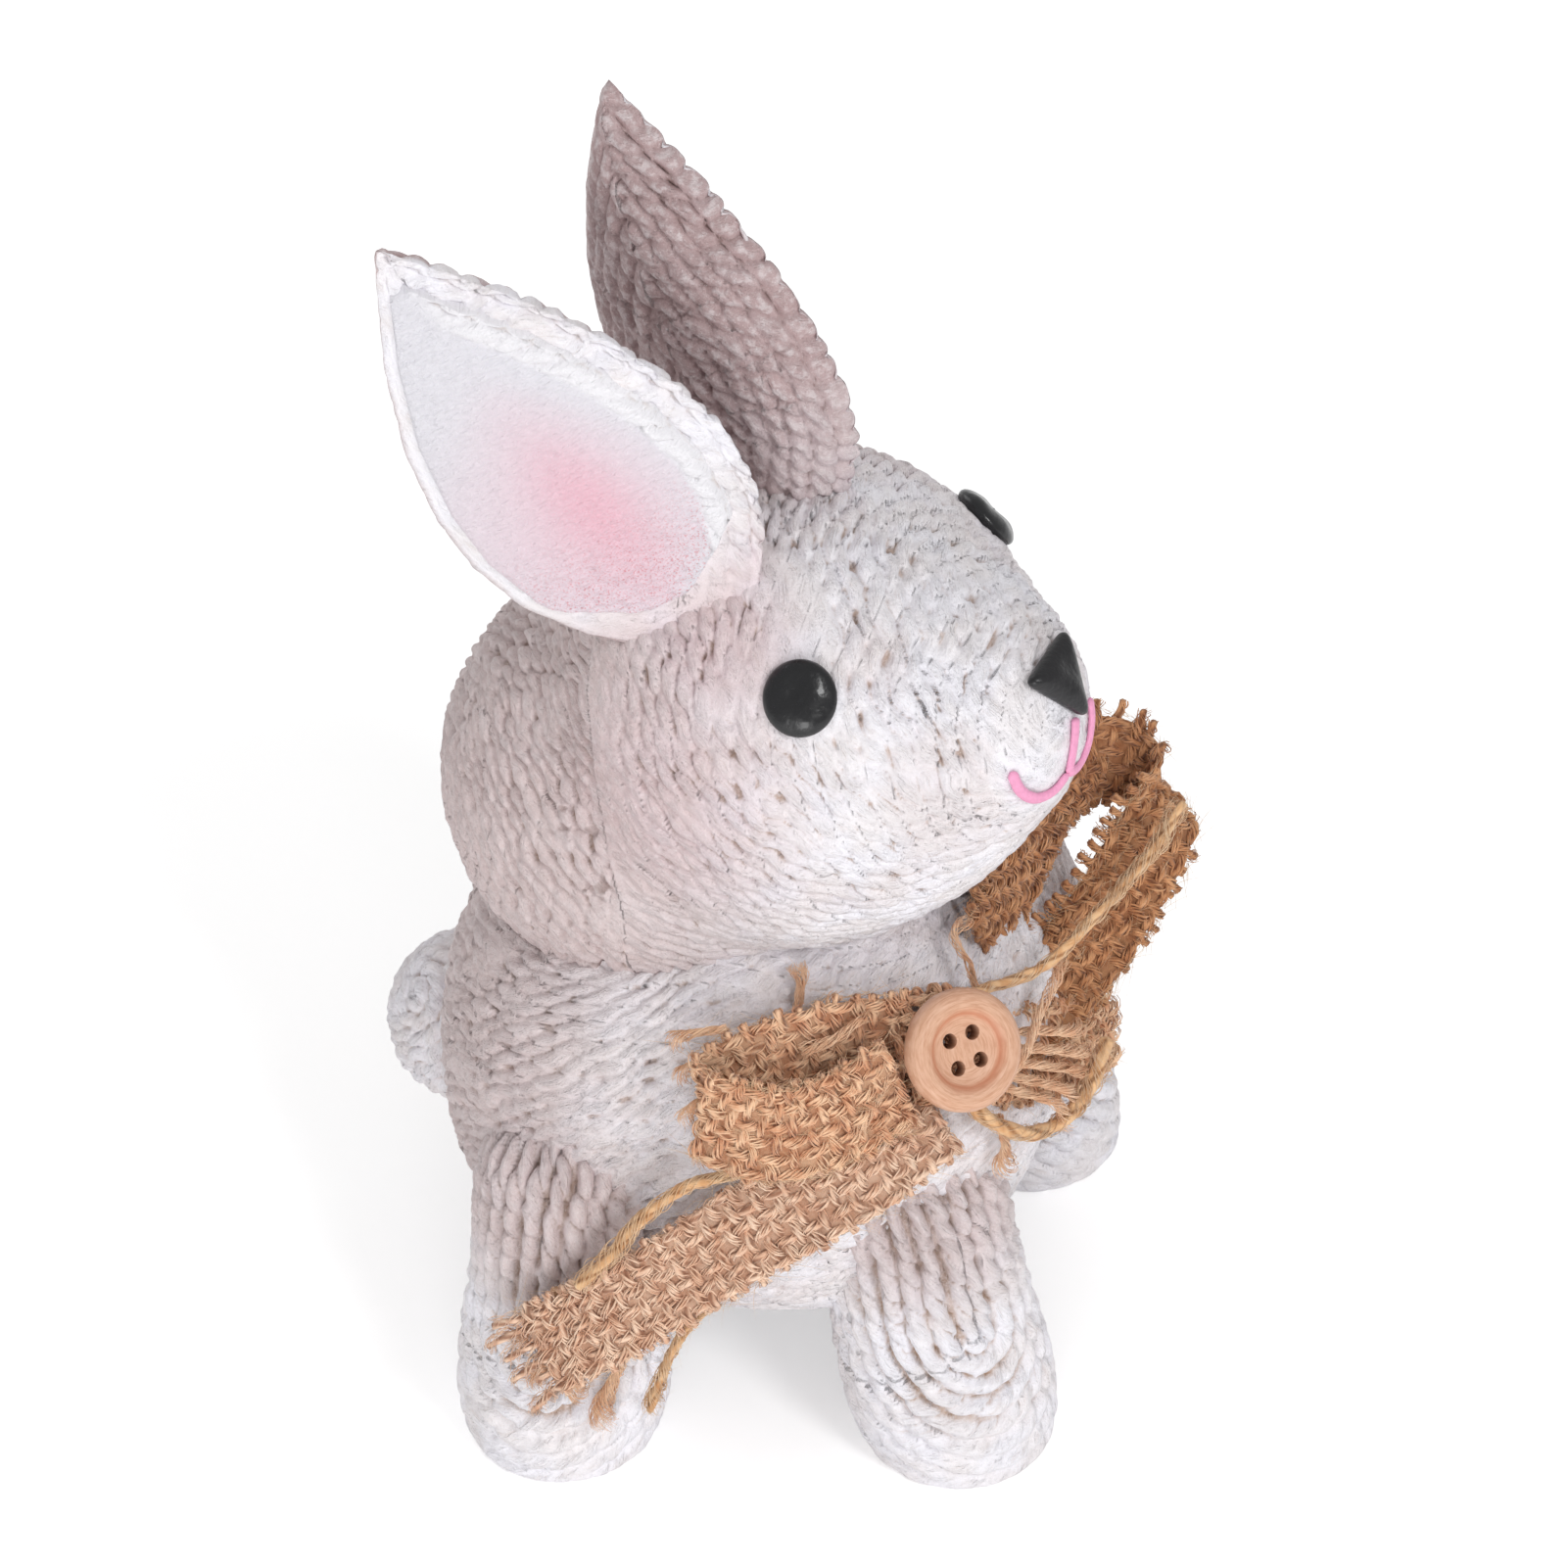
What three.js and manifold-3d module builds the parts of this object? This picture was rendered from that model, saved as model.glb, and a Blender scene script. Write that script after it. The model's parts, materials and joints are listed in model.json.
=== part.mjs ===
import * as THREE from "three";
import Module from "manifold-3d";

const wasm = await Module();
wasm.setup();

// Frame: millimetres, Z up, the rabbit looks along -Y, its right side is -X

// Fits between pieces
const SEAT_GAP = 0.3;
const CLOTH_GAP = 0.35;

// Head: one egg that runs from the back of the head to the snout
const HEAD_BACK_DIAMETER = 57.6;
const HEAD_CROWN_DIAMETER = 63.2;
const SNOUT_DIAMETER = 46;
const MUZZLE_DIAMETER = 31.6;
const HEAD_MIDDLE = [0, 1, 88.5];
const HEAD_BALLS = [
  { name: "back", at: [1.5, 11.5, 80.3], radius: HEAD_BACK_DIAMETER / 2 },
  { name: "crown", at: [0.5, -4.6, 95.9], radius: HEAD_CROWN_DIAMETER / 2 },
  { name: "snout", at: [-5, -16, 99], radius: SNOUT_DIAMETER / 2 },
  { name: "muzzle", at: [-7.5, -26, 104], radius: MUZZLE_DIAMETER / 2 },
];
const HEAD_BLEND = 18;
const HEAD_SKIN = 0.99;
const HEAD_BACK_POLE = [0.05, 0.98, -0.18];
const HEAD_FRONT_POLE = [-0.26, -0.92, 0.3];

// Torso: a flat-bellied barrel with a fuller chest set forward
const TORSO_WIDTH = 76.4;
const TORSO_DEPTH = 79.6;
const TORSO_HEIGHT = 65;
const CHEST_WIDTH = 71;
const CHEST_DEPTH = 73;
const CHEST_HEIGHT = 52;
const TORSO_MIDDLE = [0, -2, 43];
const TORSO_BARREL = {
  at: [0, 0.5, 41],
  half: { x: TORSO_WIDTH / 2, y: TORSO_DEPTH / 2, z: TORSO_HEIGHT / 2 },
  power: 2.5,
};
const TORSO_CHEST = {
  at: [0, -6.5, 51],
  half: { x: CHEST_WIDTH / 2, y: CHEST_DEPTH / 2, z: CHEST_HEIGHT / 2 },
  power: 2.2,
};
const TORSO_BLEND = 16;
const TORSO_SKIN = 0.99;

// Legs: centre of each sole, where the leg enters the torso, radii
const FRONT_SOLE = { x: 26.5, y: -32 };
const FRONT_TOP = { x: 23, y: -24, z: 40 };
const HIND_SOLE = { x: 36, y: 18 };
const HIND_TOP = { x: 32, y: 17, z: 37 };
const SOLE_RADIUS = 13.2;
const PAW_RADIUS = 14.2;
const PAW_HEIGHT = 8;
const LEG_RADIUS = 12.8;
const SOLE_ROUNDING = 1.2;

// Ribs that the wound cord raises: rounds on the head and torso, uprights on the legs
const RIB_HEIGHT = 0.9;
const LEG_RIBS = 12;
const BODY_RIBS = 13;
const SMOOTH_MUZZLE_SHARE = 0.1;

// Tail
const TAIL_MIDDLE = [0, 37.8, 33];
const TAIL_RADIUS = 12;

// Ears: a pointed leaf with a domed wound back and a cloth panel let into its face
const EAR_RIGHT = {
  base: [-13.9, 0.6, 115],
  tip: [-25.6, 35.6, 173.2],
  face: [-0.97, -0.22, 0.05],
  rearSign: 1,
};
const EAR_LEFT = {
  base: [8.7, -4.3, 115],
  tip: [8, 18, 175.5],
  face: [0.9, -0.43, 0.05],
  rearSign: -1,
};
const EAR_WIDTH = 35;
const EAR_BACK_DEPTH = 9;
const EAR_LIP = 1.6;
const EAR_OUTLINE = [
  [0, 0.06],
  [0.025, 0.28],
  [0.07, 0.48],
  [0.15, 0.72],
  [0.26, 0.93],
  [0.38, 1],
  [0.5, 0.96],
  [0.65, 0.8],
  [0.8, 0.53],
  [0.92, 0.25],
  [1, 0.05],
];
const EAR_BORDER = 2.9;
const PANEL_SHIFT = 1.1;
const PANEL_FROM = 0.14;
const PANEL_TO = 0.93;
const PANEL_DEPTH = 1.6;
const PANEL_DOME = 0.9;

// Eyes, nose and mouth
const EYE_RIGHT = [-23.8, -10.6, 116.8];
const EYE_LEFT = [15.5, -24.5, 114];
const EYE_RADIUS = 4.3;
const EYE_BULGE = 1.5;
const NOSE_AT = [-10.4, -38.2, 113.6];
const NOSE_HALF_SIDE = 3.2;
const NOSE_CORNER = 6;
const NOSE_BULGE = 1.6;
const MOUTH_STEM = [
  [-11.6, -40.6, 108.8],
  [-13.2, -40.6, 105.6],
  [-14.3, -40.4, 102.5],
];
const MOUTH_RIGHT = [
  [-14.3, -40.4, 102.5],
  [-16.6, -39.2, 101.4],
  [-18.9, -37.5, 102],
  [-20.5, -35.9, 104.3],
  [-20.9, -34.8, 107.3],
];
const MOUTH_LEFT = [
  [-14.3, -40.4, 102.5],
  [-11.9, -40.8, 101.4],
  [-9.2, -40.8, 102],
  [-7.2, -40.4, 104.3],
  [-6.4, -39.8, 107],
];
const MOUTH_LINE_RADIUS = 0.75;
const MOUTH_RISE = 0.15;

// Burlap bow: strip width and thickness, and the points each strip runs through
const STRIP_WIDTH = 12;
const STRIP_THICKNESS = 1.8;
const LOOP_RIGHT_PATH = [
  [-26, -24, 66.4],
  [-29.8, -16, 67.4],
  [-33.6, -9, 66.4],
  [-36.6, -4.4, 64.8],
  [-38.6, -2, 64.4],
  [-41, -2.6, 64.8],
  [-42.2, -6, 64],
  [-41, -12, 62.6],
  [-37.4, -18.5, 63.6],
  [-32.3, -24.5, 65.6],
];
const LOOP_RIGHT_WIDE = [
  [0.42, 0.1, 0.9],
  [0.42, 0.1, 0.9],
];
const LOOP_LEFT_PATH = [
  [-19, -31, 62.5],
  [-11, -36.6, 60],
  [-5, -40.2, 61.6],
  [0, -43.2, 64.3],
  [5, -46, 67.8],
  [9.5, -48, 71],
  [13.4, -48.8, 73.6],
  [16.6, -47.4, 75.4],
  [17.8, -43.8, 76.6],
  [16.4, -39.4, 77.8],
  [12, -36, 78],
  [5, -34, 76.2],
  [-4, -32.6, 72.6],
  [-12, -30.6, 70],
];
const LOOP_LEFT_WIDE = [
  [0.36, 0.74, 0.57],
  [0, 0.2, 0.98],
];
const TAIL_RIGHT_PATH = [
  [-30, -28.5, 58.7],
  [-36, -23, 56.5],
  [-40, -17, 52.9],
  [-42.2, -10.5, 48.4],
  [-44.6, -4, 43.2],
  [-47.8, 3.5, 37.9],
  [-50.6, 10, 33.6],
  [-52.2, 16.5, 29.4],
];
const TAIL_RIGHT_WIDE = [
  [0.35, 0.6, 0.72],
  [0.35, 0.6, 0.72],
];
const TAIL_LEFT_PATH = [
  [-20, -34.5, 60],
  [-13, -40.5, 55.5],
  [-6, -43.8, 52.5],
  [0, -45, 50],
];
const TAIL_LEFT_WIDE = [
  [0.3, 0.3, 0.9],
  [0.3, 0.3, 0.9],
];

// Knot and button
const KNOT_AT = [-24.3, -27.8, 64.6];
const KNOT_HALF = { across: 6.5, up: 7.5, out: 4 };
const BUTTON_NORMAL = [-0.6, -0.54, 0.59];
const BUTTON_DIAMETER = 15;
const BUTTON_THICKNESS = 3.4;
const BUTTON_RIM_WIDTH = 3.1;
const BUTTON_RIM_ROUNDING = 0.8;
const BUTTON_DISH = 1;
const BUTTON_HOLE_DIAMETER = 1.9;
const BUTTON_HOLE_SPACING = 3.5;
const BUTTON_STAND_OFF = 1;

// Jute strands
const STRAND_RADIUS = 0.7;
const ARC_RADIUS = 1.1;
const STRAND_LONG_PATH = [
  [-37, -20.9, 58.6],
  [-39.8, -14.2, 57.6],
  [-41.8, -7.5, 56.2],
  [-43.2, -0.5, 53.2],
  [-45.2, 4.6, 48.4],
  [-48, 8.4, 43.4],
  [-50.4, 11.5, 40.6],
];
const STRAND_UPPER_PATH = [
  [-23, -30.6, 72.6],
  [-19, -33.2, 70.6],
  [-13, -38.6, 69.5],
  [-8, -42.6, 72],
  [-3, -46, 74.6],
  [2, -49.2, 77],
  [7, -52, 81],
];
const STRAND_ARC_PATH = [
  [-26.5, -31, 60.5],
  [-27.6, -34, 57.2],
  [-26, -37.8, 53.7],
  [-23, -41, 51.4],
  [-19.8, -44, 52.4],
  [-16.8, -46.2, 56.3],
  [-14.4, -47, 60],
];
const STRAND_LOOSE_PATH = [
  [-45.8, -4.4, 36.6],
  [-47.6, -1.3, 32.6],
  [-48.8, 1.1, 26.4],
  [-49.6, 3, 19],
];

// Mesh fineness
const AROUND_BODY = 40;
const AROUND_EAR = 24;
const RINGS_EAR = 20;
const AROUND_SMALL = 16;
const AROUND_TAIL = 24;
const AROUND_STRAND = 8;

const vec = (list) => new THREE.Vector3(list[0], list[1], list[2]);
const unit = (list) => vec(list).normalize();

// A closed skin through rings of points, closed by one point at each end
function skin(rings, first, last) {
  const around = rings[0].length;
  const points = [first, ...rings.flat(), last];
  const index = [];
  const at = (ring, step) => 1 + ring * around + (step % around);
  for (let step = 0; step < around; step += 1) {
    index.push(0, at(0, step + 1), at(0, step));
    index.push(points.length - 1, at(rings.length - 1, step), at(rings.length - 1, step + 1));
  }
  for (let ring = 0; ring < rings.length - 1; ring += 1) {
    for (let step = 0; step < around; step += 1) {
      index.push(at(ring, step), at(ring, step + 1), at(ring + 1, step + 1));
      index.push(at(ring, step), at(ring + 1, step + 1), at(ring + 1, step));
    }
  }
  let volume = 0;
  for (let corner = 0; corner < index.length; corner += 3) {
    const [a, b, c] = [points[index[corner]], points[index[corner + 1]], points[index[corner + 2]]];
    volume += a.dot(new THREE.Vector3().crossVectors(b, c));
  }
  if (volume < 0) {
    index.reverse();
  }
  const mesh = new wasm.Mesh({
    numProp: 3,
    vertProperties: new Float32Array(points.flatMap((p) => [p.x, p.y, p.z])),
    triVerts: new Uint32Array(index),
  });
  return new wasm.Manifold(mesh);
}

// Two unit vectors square to a direction, the second as close to a wished one as it goes
function frameOn(direction, wished) {
  const out = direction.clone().normalize();
  const up = wished.clone().addScaledVector(out, -wished.dot(out)).normalize();
  const side = new THREE.Vector3().crossVectors(up, out).normalize();
  return { out, up, side };
}

// Distance from the middle of the head to its skin
function headReach(direction) {
  const middle = vec(HEAD_MIDDLE);
  let sum = 0;
  for (const ball of HEAD_BALLS) {
    const centre = vec(ball.at).sub(middle);
    const along = direction.dot(centre);
    const inside = along * along - centre.lengthSq() + ball.radius * ball.radius;
    const reach = inside > 0 ? along + Math.sqrt(inside) : 1;
    sum += Math.max(reach, 1) ** HEAD_BLEND;
  }
  return HEAD_SKIN * sum ** (1 / HEAD_BLEND);
}

// Distance from the middle of the torso to its skin
function torsoReach(direction) {
  const middle = vec(TORSO_MIDDLE);
  let sum = 0;
  for (const form of [TORSO_BARREL, TORSO_CHEST]) {
    const centre = vec(form.at);
    const excess = (reach) => {
      const point = middle.clone().addScaledVector(direction, reach).sub(centre);
      return (
        Math.abs(point.x / form.half.x) ** form.power +
        Math.abs(point.y / form.half.y) ** form.power +
        Math.abs(point.z / form.half.z) ** form.power -
        1
      );
    };
    let [near, far] = [1, 80];
    for (let halving = 0; halving < 30; halving += 1) {
      const mid = (near + far) / 2;
      if (excess(mid) < 0) {
        near = mid;
      } else {
        far = mid;
      }
    }
    sum += near ** TORSO_BLEND;
  }
  return TORSO_SKIN * sum ** (1 / TORSO_BLEND);
}

// A skin of given reach about a middle, ribbed round by round from one pole to the other
function roundSkin(middleList, reach, frontPole, backPole, grow) {
  const ringCount = BODY_RIBS * 2;
  const middle = vec(middleList);
  const front = unit(frontPole);
  const away = unit(backPole).negate();
  const rings = [];
  for (let ring = 1; ring < ringCount; ring += 1) {
    const share = ring / ringCount;
    const ribbed = Math.min(Math.max((share - SMOOTH_MUZZLE_SHARE) / SMOOTH_MUZZLE_SHARE, 0), 1);
    const groove = ring % 2 === 0 ? 0 : RIB_HEIGHT * ribbed;
    const angle = Math.PI * share;
    const axis = front.clone().lerp(away, share).normalize();
    const { up, side } = frameOn(axis, new THREE.Vector3(0.02, 0.31, 0.95));
    const points = [];
    for (let step = 0; step < AROUND_BODY; step += 1) {
      const turn = (2 * Math.PI * step) / AROUND_BODY;
      const direction = axis
        .clone()
        .multiplyScalar(Math.cos(angle))
        .addScaledVector(side, Math.sin(angle) * Math.cos(turn))
        .addScaledVector(up, Math.sin(angle) * Math.sin(turn));
      points.push(middle.clone().addScaledVector(direction, reach(direction) - groove + grow));
    }
    rings.push(points);
  }
  const back = unit(backPole);
  return skin(
    rings,
    middle.clone().addScaledVector(front, reach(front) + grow),
    middle.clone().addScaledVector(back, reach(back) + grow),
  );
}

const headSolid = (grow) => roundSkin(HEAD_MIDDLE, headReach, HEAD_FRONT_POLE, HEAD_BACK_POLE, grow);
const torsoSolid = (grow) => roundSkin(TORSO_MIDDLE, torsoReach, [0, 0, -1], [0, 0, 1], grow);

// The point of the head skin over a given point, and the skin's outward direction there
function onHead(list) {
  const middle = vec(HEAD_MIDDLE);
  const place = (direction) => middle.clone().addScaledVector(direction, headReach(direction));
  const direction = vec(list).sub(middle).normalize();
  const { up, side } = frameOn(direction, new THREE.Vector3(0, 0, 1));
  const tilt = 0.05;
  const step = (a, b) =>
    place(direction.clone().addScaledVector(side, a).addScaledVector(up, b).normalize());
  const acrossSkin = step(tilt, 0).sub(step(-tilt, 0));
  const upSkin = step(0, tilt).sub(step(0, -tilt));
  const out = new THREE.Vector3().crossVectors(acrossSkin, upSkin).normalize();
  if (out.dot(direction) < 0) {
    out.negate();
  }
  return { point: place(direction), out };
}

// A lens: an outline about a middle, bulging along its normal on both sides
function lens(middle, out, wishedUp, outline, bulge, around) {
  const { up, side } = frameOn(out, wishedUp);
  const rings = [];
  const levels = 6;
  for (let level = 1; level < levels; level += 1) {
    const angle = (Math.PI * level) / levels;
    const points = [];
    for (let step = 0; step < around; step += 1) {
      const turn = (2 * Math.PI * step) / around;
      const reach = outline(turn) * Math.sin(angle) ** 0.7;
      points.push(
        middle
          .clone()
          .addScaledVector(side, reach * Math.cos(turn))
          .addScaledVector(up, reach * Math.sin(turn))
          .addScaledVector(out, bulge * Math.cos(angle)),
      );
    }
    rings.push(points);
  }
  return skin(
    rings,
    middle.clone().addScaledVector(out, bulge),
    middle.clone().addScaledVector(out, -bulge),
  );
}

// A round cord along a smooth line through points
function cord(pointList, radius, steps, around) {
  const curve = new THREE.CatmullRomCurve3(pointList);
  const rings = [];
  for (let step = 0; step <= steps; step += 1) {
    const share = step / steps;
    const centre = curve.getPointAt(share);
    const { up, side } = frameOn(curve.getTangentAt(share), new THREE.Vector3(0.31, 0.2, 0.93));
    const ring = [];
    for (let turnStep = 0; turnStep < around; turnStep += 1) {
      const turn = (2 * Math.PI * turnStep) / around;
      ring.push(
        centre
          .clone()
          .addScaledVector(side, radius * Math.cos(turn))
          .addScaledVector(up, radius * Math.sin(turn)),
      );
    }
    rings.push(ring);
  }
  const cap = radius * 0.5;
  return skin(
    rings,
    curve.getPointAt(0).addScaledVector(curve.getTangentAt(0), -cap),
    curve.getPointAt(1).addScaledVector(curve.getTangentAt(1), cap),
  );
}

// A strip of cloth along a smooth line through points, its width along a wished direction
function strip(path, wide, grow) {
  const curve = new THREE.CatmullRomCurve3(path.map(vec));
  const steps = path.length * 3;
  const half = STRIP_WIDTH / 2 + grow;
  const thick = STRIP_THICKNESS / 2 + grow;
  const columns = [-1, -0.33, 0.33, 1];
  const rings = [];
  for (let step = 0; step <= steps; step += 1) {
    const share = step / steps;
    const centre = curve.getPointAt(share);
    const wished = vec(wide[0]).lerp(vec(wide[1]), share);
    const { out, up } = frameOn(curve.getTangentAt(share), wished);
    const face = new THREE.Vector3().crossVectors(out, up);
    const ring = [];
    for (const column of columns) {
      ring.push(centre.clone().addScaledVector(up, column * half).addScaledVector(face, thick));
    }
    for (const column of [...columns].reverse()) {
      ring.push(centre.clone().addScaledVector(up, column * half).addScaledVector(face, -thick));
    }
    rings.push(ring);
  }
  return skin(
    rings,
    curve.getPointAt(0).addScaledVector(curve.getTangentAt(0), -grow),
    curve.getPointAt(1).addScaledVector(curve.getTangentAt(1), grow),
  );
}

// Half width of the ear's outline along its length, from base to tip
function earHalfWidth(share) {
  let before = EAR_OUTLINE[0];
  for (const after of EAR_OUTLINE) {
    if (share <= after[0]) {
      const span = after[0] - before[0] || 1;
      const along = (share - before[0]) / span;
      return (EAR_WIDTH / 2) * (before[1] + (after[1] - before[1]) * along);
    }
    before = after;
  }
  return (EAR_WIDTH / 2) * before[1];
}

// The ear's own directions: up its length, out of its face, across
function earFrame(ear) {
  const base = vec(ear.base);
  const along = vec(ear.tip).sub(base);
  const length = along.length();
  along.divideScalar(length);
  const { up: face, side: across } = frameOn(along, vec(ear.face));
  return { base, along, face, across, length };
}

// The ear's shell: a flat lip in front and a domed back
function earShell(ear, grow) {
  const { base, along, face, across, length } = earFrame(ear);
  const rings = [];
  for (let ring = 0; ring <= RINGS_EAR; ring += 1) {
    const share = ring / RINGS_EAR;
    const half = earHalfWidth(share) + grow;
    const fullness = Math.sqrt((2 * earHalfWidth(share)) / EAR_WIDTH);
    const points = [];
    for (let step = 0; step < AROUND_EAR; step += 1) {
      const turn = (2 * Math.PI * step) / AROUND_EAR;
      const depth = (Math.sin(turn) > 0 ? EAR_LIP : EAR_BACK_DEPTH) * fullness + grow;
      points.push(
        base
          .clone()
          .addScaledVector(along, share * length)
          .addScaledVector(across, half * Math.cos(turn))
          .addScaledVector(face, depth * Math.sin(turn)),
      );
    }
    rings.push(points);
  }
  return skin(
    rings,
    base.clone().addScaledVector(along, -grow - 0.5),
    base.clone().addScaledVector(along, length + grow + 0.6),
  );
}

// The cloth panel in the ear's face, or the recess it sits in
function earPanel(ear, grow, frontReach) {
  const { base, along, face, across, length } = earFrame(ear);
  const rings = [];
  const count = RINGS_EAR - 2;
  const growShare = grow / length;
  for (let ring = 0; ring <= count; ring += 1) {
    const inner = ring / count;
    const panelShare = PANEL_FROM + (PANEL_TO - PANEL_FROM) * inner;
    const share = panelShare + growShare * (2 * inner - 1);
    const roundedEnd = Math.min(1, Math.sqrt(Math.max(inner, 0.02) / 0.12));
    const half = Math.max(earHalfWidth(panelShare) - EAR_BORDER, 0.5) * roundedEnd + grow;
    const points = [];
    for (const column of [-1, -0.6, -0.2, 0.2, 0.6, 1]) {
      const dome = frontReach + PANEL_DOME * (1 - column * column);
      points.push([column * half, dome]);
    }
    points.push([half, -PANEL_DEPTH - grow]);
    points.push([-half, -PANEL_DEPTH - grow]);
    rings.push(
      points.map(([x, y]) =>
        base
          .clone()
          .addScaledVector(along, share * length)
          .addScaledVector(across, x + PANEL_SHIFT * ear.rearSign)
          .addScaledVector(face, y),
      ),
    );
  }
  const level = (frontReach - PANEL_DEPTH) / 2;
  const end = (share, push) =>
    base
      .clone()
      .addScaledVector(along, share * length + push)
      .addScaledVector(across, PANEL_SHIFT * ear.rearSign)
      .addScaledVector(face, level);
  return skin(rings, end(PANEL_FROM, -grow), end(PANEL_TO, grow));
}

// A leg: flat sole, rounded paw, upright shaft ribbed by its cords, which ends inside the torso
function legSolid(sole, top, sideSign, grow) {
  const levels = [
    { z: 0, radius: SOLE_RADIUS - SOLE_ROUNDING, ribbed: 0 },
    { z: SOLE_ROUNDING * 0.4, radius: SOLE_RADIUS - SOLE_ROUNDING * 0.3, ribbed: 0 },
    { z: SOLE_ROUNDING, radius: SOLE_RADIUS, ribbed: 0 },
    { z: PAW_HEIGHT * 0.5, radius: SOLE_RADIUS + (PAW_RADIUS - SOLE_RADIUS) * 0.75, ribbed: 0.4 },
    { z: PAW_HEIGHT, radius: PAW_RADIUS, ribbed: 1 },
    { z: PAW_HEIGHT * 1.6, radius: PAW_RADIUS, ribbed: 1 },
    { z: top.z * 0.5, radius: (PAW_RADIUS + LEG_RADIUS) / 2, ribbed: 1 },
    { z: top.z * 0.75, radius: LEG_RADIUS, ribbed: 1 },
    { z: top.z, radius: LEG_RADIUS, ribbed: 1 },
    { z: top.z + LEG_RADIUS * 0.5, radius: LEG_RADIUS * 0.85, ribbed: 1 },
    { z: top.z + LEG_RADIUS * 0.8, radius: LEG_RADIUS * 0.55, ribbed: 0 },
  ];
  const around = LEG_RIBS * 2;
  const centreAt = (z) => {
    const share = Math.min(z / top.z, 1.2);
    return [
      sideSign * (sole.x + (top.x - sole.x) * share),
      sole.y + (top.y - sole.y) * share,
    ];
  };
  const rings = levels.map(({ z, radius, ribbed }) => {
    const [x, y] = centreAt(z);
    const points = [];
    for (let step = 0; step < around; step += 1) {
      const turn = (2 * Math.PI * step) / around;
      const groove = step % 2 === 0 ? 0 : RIB_HEIGHT * ribbed;
      const reach = radius - groove + grow;
      points.push(new THREE.Vector3(x + reach * Math.cos(turn), y + reach * Math.sin(turn), z));
    }
    return points;
  });
  const crown = top.z + LEG_RADIUS;
  const [crownX, crownY] = centreAt(crown);
  return skin(
    rings,
    new THREE.Vector3(sideSign * sole.x, sole.y, 0),
    new THREE.Vector3(crownX, crownY, crown),
  );
}

// A four-hole button: round rim, dished middle
function buttonSolid(middle, out) {
  const { up, side } = frameOn(out, new THREE.Vector3(0.1, 0, 1));
  const radius = BUTTON_DIAMETER / 2;
  const half = BUTTON_THICKNESS / 2;
  const dishRadius = radius - BUTTON_RIM_WIDTH;
  const round = BUTTON_RIM_ROUNDING;
  const profile = [
    [dishRadius * 0.75, half - BUTTON_DISH],
    [dishRadius, half - BUTTON_DISH * 0.6],
    [dishRadius + round, half],
    [radius - round, half],
    [radius - round * 0.25, half - round * 0.4],
    [radius, half - round],
    [radius, -half + round],
    [radius - round, -half],
  ];
  const around = 32;
  const ringOf = (ringMiddle, ringRadius, level, count) => {
    const points = [];
    for (let step = 0; step < count; step += 1) {
      const turn = (2 * Math.PI * step) / count;
      points.push(
        ringMiddle
          .clone()
          .addScaledVector(side, ringRadius * Math.cos(turn))
          .addScaledVector(up, ringRadius * Math.sin(turn))
          .addScaledVector(out, level),
      );
    }
    return points;
  };
  let solid = skin(
    profile.map(([ringRadius, level]) => ringOf(middle, ringRadius, level, around)),
    middle.clone().addScaledVector(out, half - BUTTON_DISH),
    middle.clone().addScaledVector(out, -half),
  );
  const reach = BUTTON_HOLE_SPACING / 2;
  for (const [across, high] of [
    [1, 1],
    [1, -1],
    [-1, 1],
    [-1, -1],
  ]) {
    const at = middle
      .clone()
      .addScaledVector(side, across * reach)
      .addScaledVector(up, high * reach);
    const holeRings = [BUTTON_THICKNESS, -BUTTON_THICKNESS].map((level) =>
      ringOf(at, BUTTON_HOLE_DIAMETER / 2, level, 12),
    );
    const hole = skin(
      holeRings,
      at.clone().addScaledVector(out, BUTTON_THICKNESS),
      at.clone().addScaledVector(out, -BUTTON_THICKNESS),
    );
    solid = solid.subtract(hole);
  }
  return solid;
}

// The room a button takes, with a gap all round
function buttonPlate(middle, out, grow) {
  const radius = BUTTON_DIAMETER / 2 + grow;
  return lens(middle, out, new THREE.Vector3(0.1, 0, 1), () => radius * 1.04, BUTTON_THICKNESS, 32);
}

// The largest single body of a solid
function largest(solid) {
  const bodies = solid.decompose();
  if (bodies.length === 0) {
    return solid;
  }
  return bodies.reduce((best, body) => (body.volume() > best.volume() ? body : best));
}

// Body castings
const head = headSolid(0);
const headRoom = headSolid(SEAT_GAP);
const torso = torsoSolid(0).subtract(headRoom);
const torsoRoom = torsoSolid(SEAT_GAP);
const clothRoom = torsoSolid(CLOTH_GAP).add(headSolid(CLOTH_GAP));

const legs = {
  leg_front_right: legSolid(FRONT_SOLE, FRONT_TOP, -1, 0),
  leg_front_left: legSolid(FRONT_SOLE, FRONT_TOP, 1, 0),
  leg_hind_right: legSolid(HIND_SOLE, HIND_TOP, -1, 0),
  leg_hind_left: legSolid(HIND_SOLE, HIND_TOP, 1, 0),
};

const tail = (() => {
  const rings = [];
  const count = 12;
  for (let ring = 1; ring < count; ring += 1) {
    const angle = (Math.PI * ring) / count;
    const points = [];
    for (let step = 0; step < AROUND_TAIL; step += 1) {
      const turn = (2 * Math.PI * step) / AROUND_TAIL;
      points.push(
        new THREE.Vector3(
          TAIL_MIDDLE[0] + TAIL_RADIUS * Math.sin(angle) * Math.cos(turn),
          TAIL_MIDDLE[1] + TAIL_RADIUS * Math.cos(angle),
          TAIL_MIDDLE[2] + TAIL_RADIUS * Math.sin(angle) * Math.sin(turn),
        ),
      );
    }
    rings.push(points);
  }
  return skin(
    rings,
    vec(TAIL_MIDDLE).add(new THREE.Vector3(0, TAIL_RADIUS, 0)),
    vec(TAIL_MIDDLE).add(new THREE.Vector3(0, -TAIL_RADIUS, 0)),
  );
})();

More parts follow.
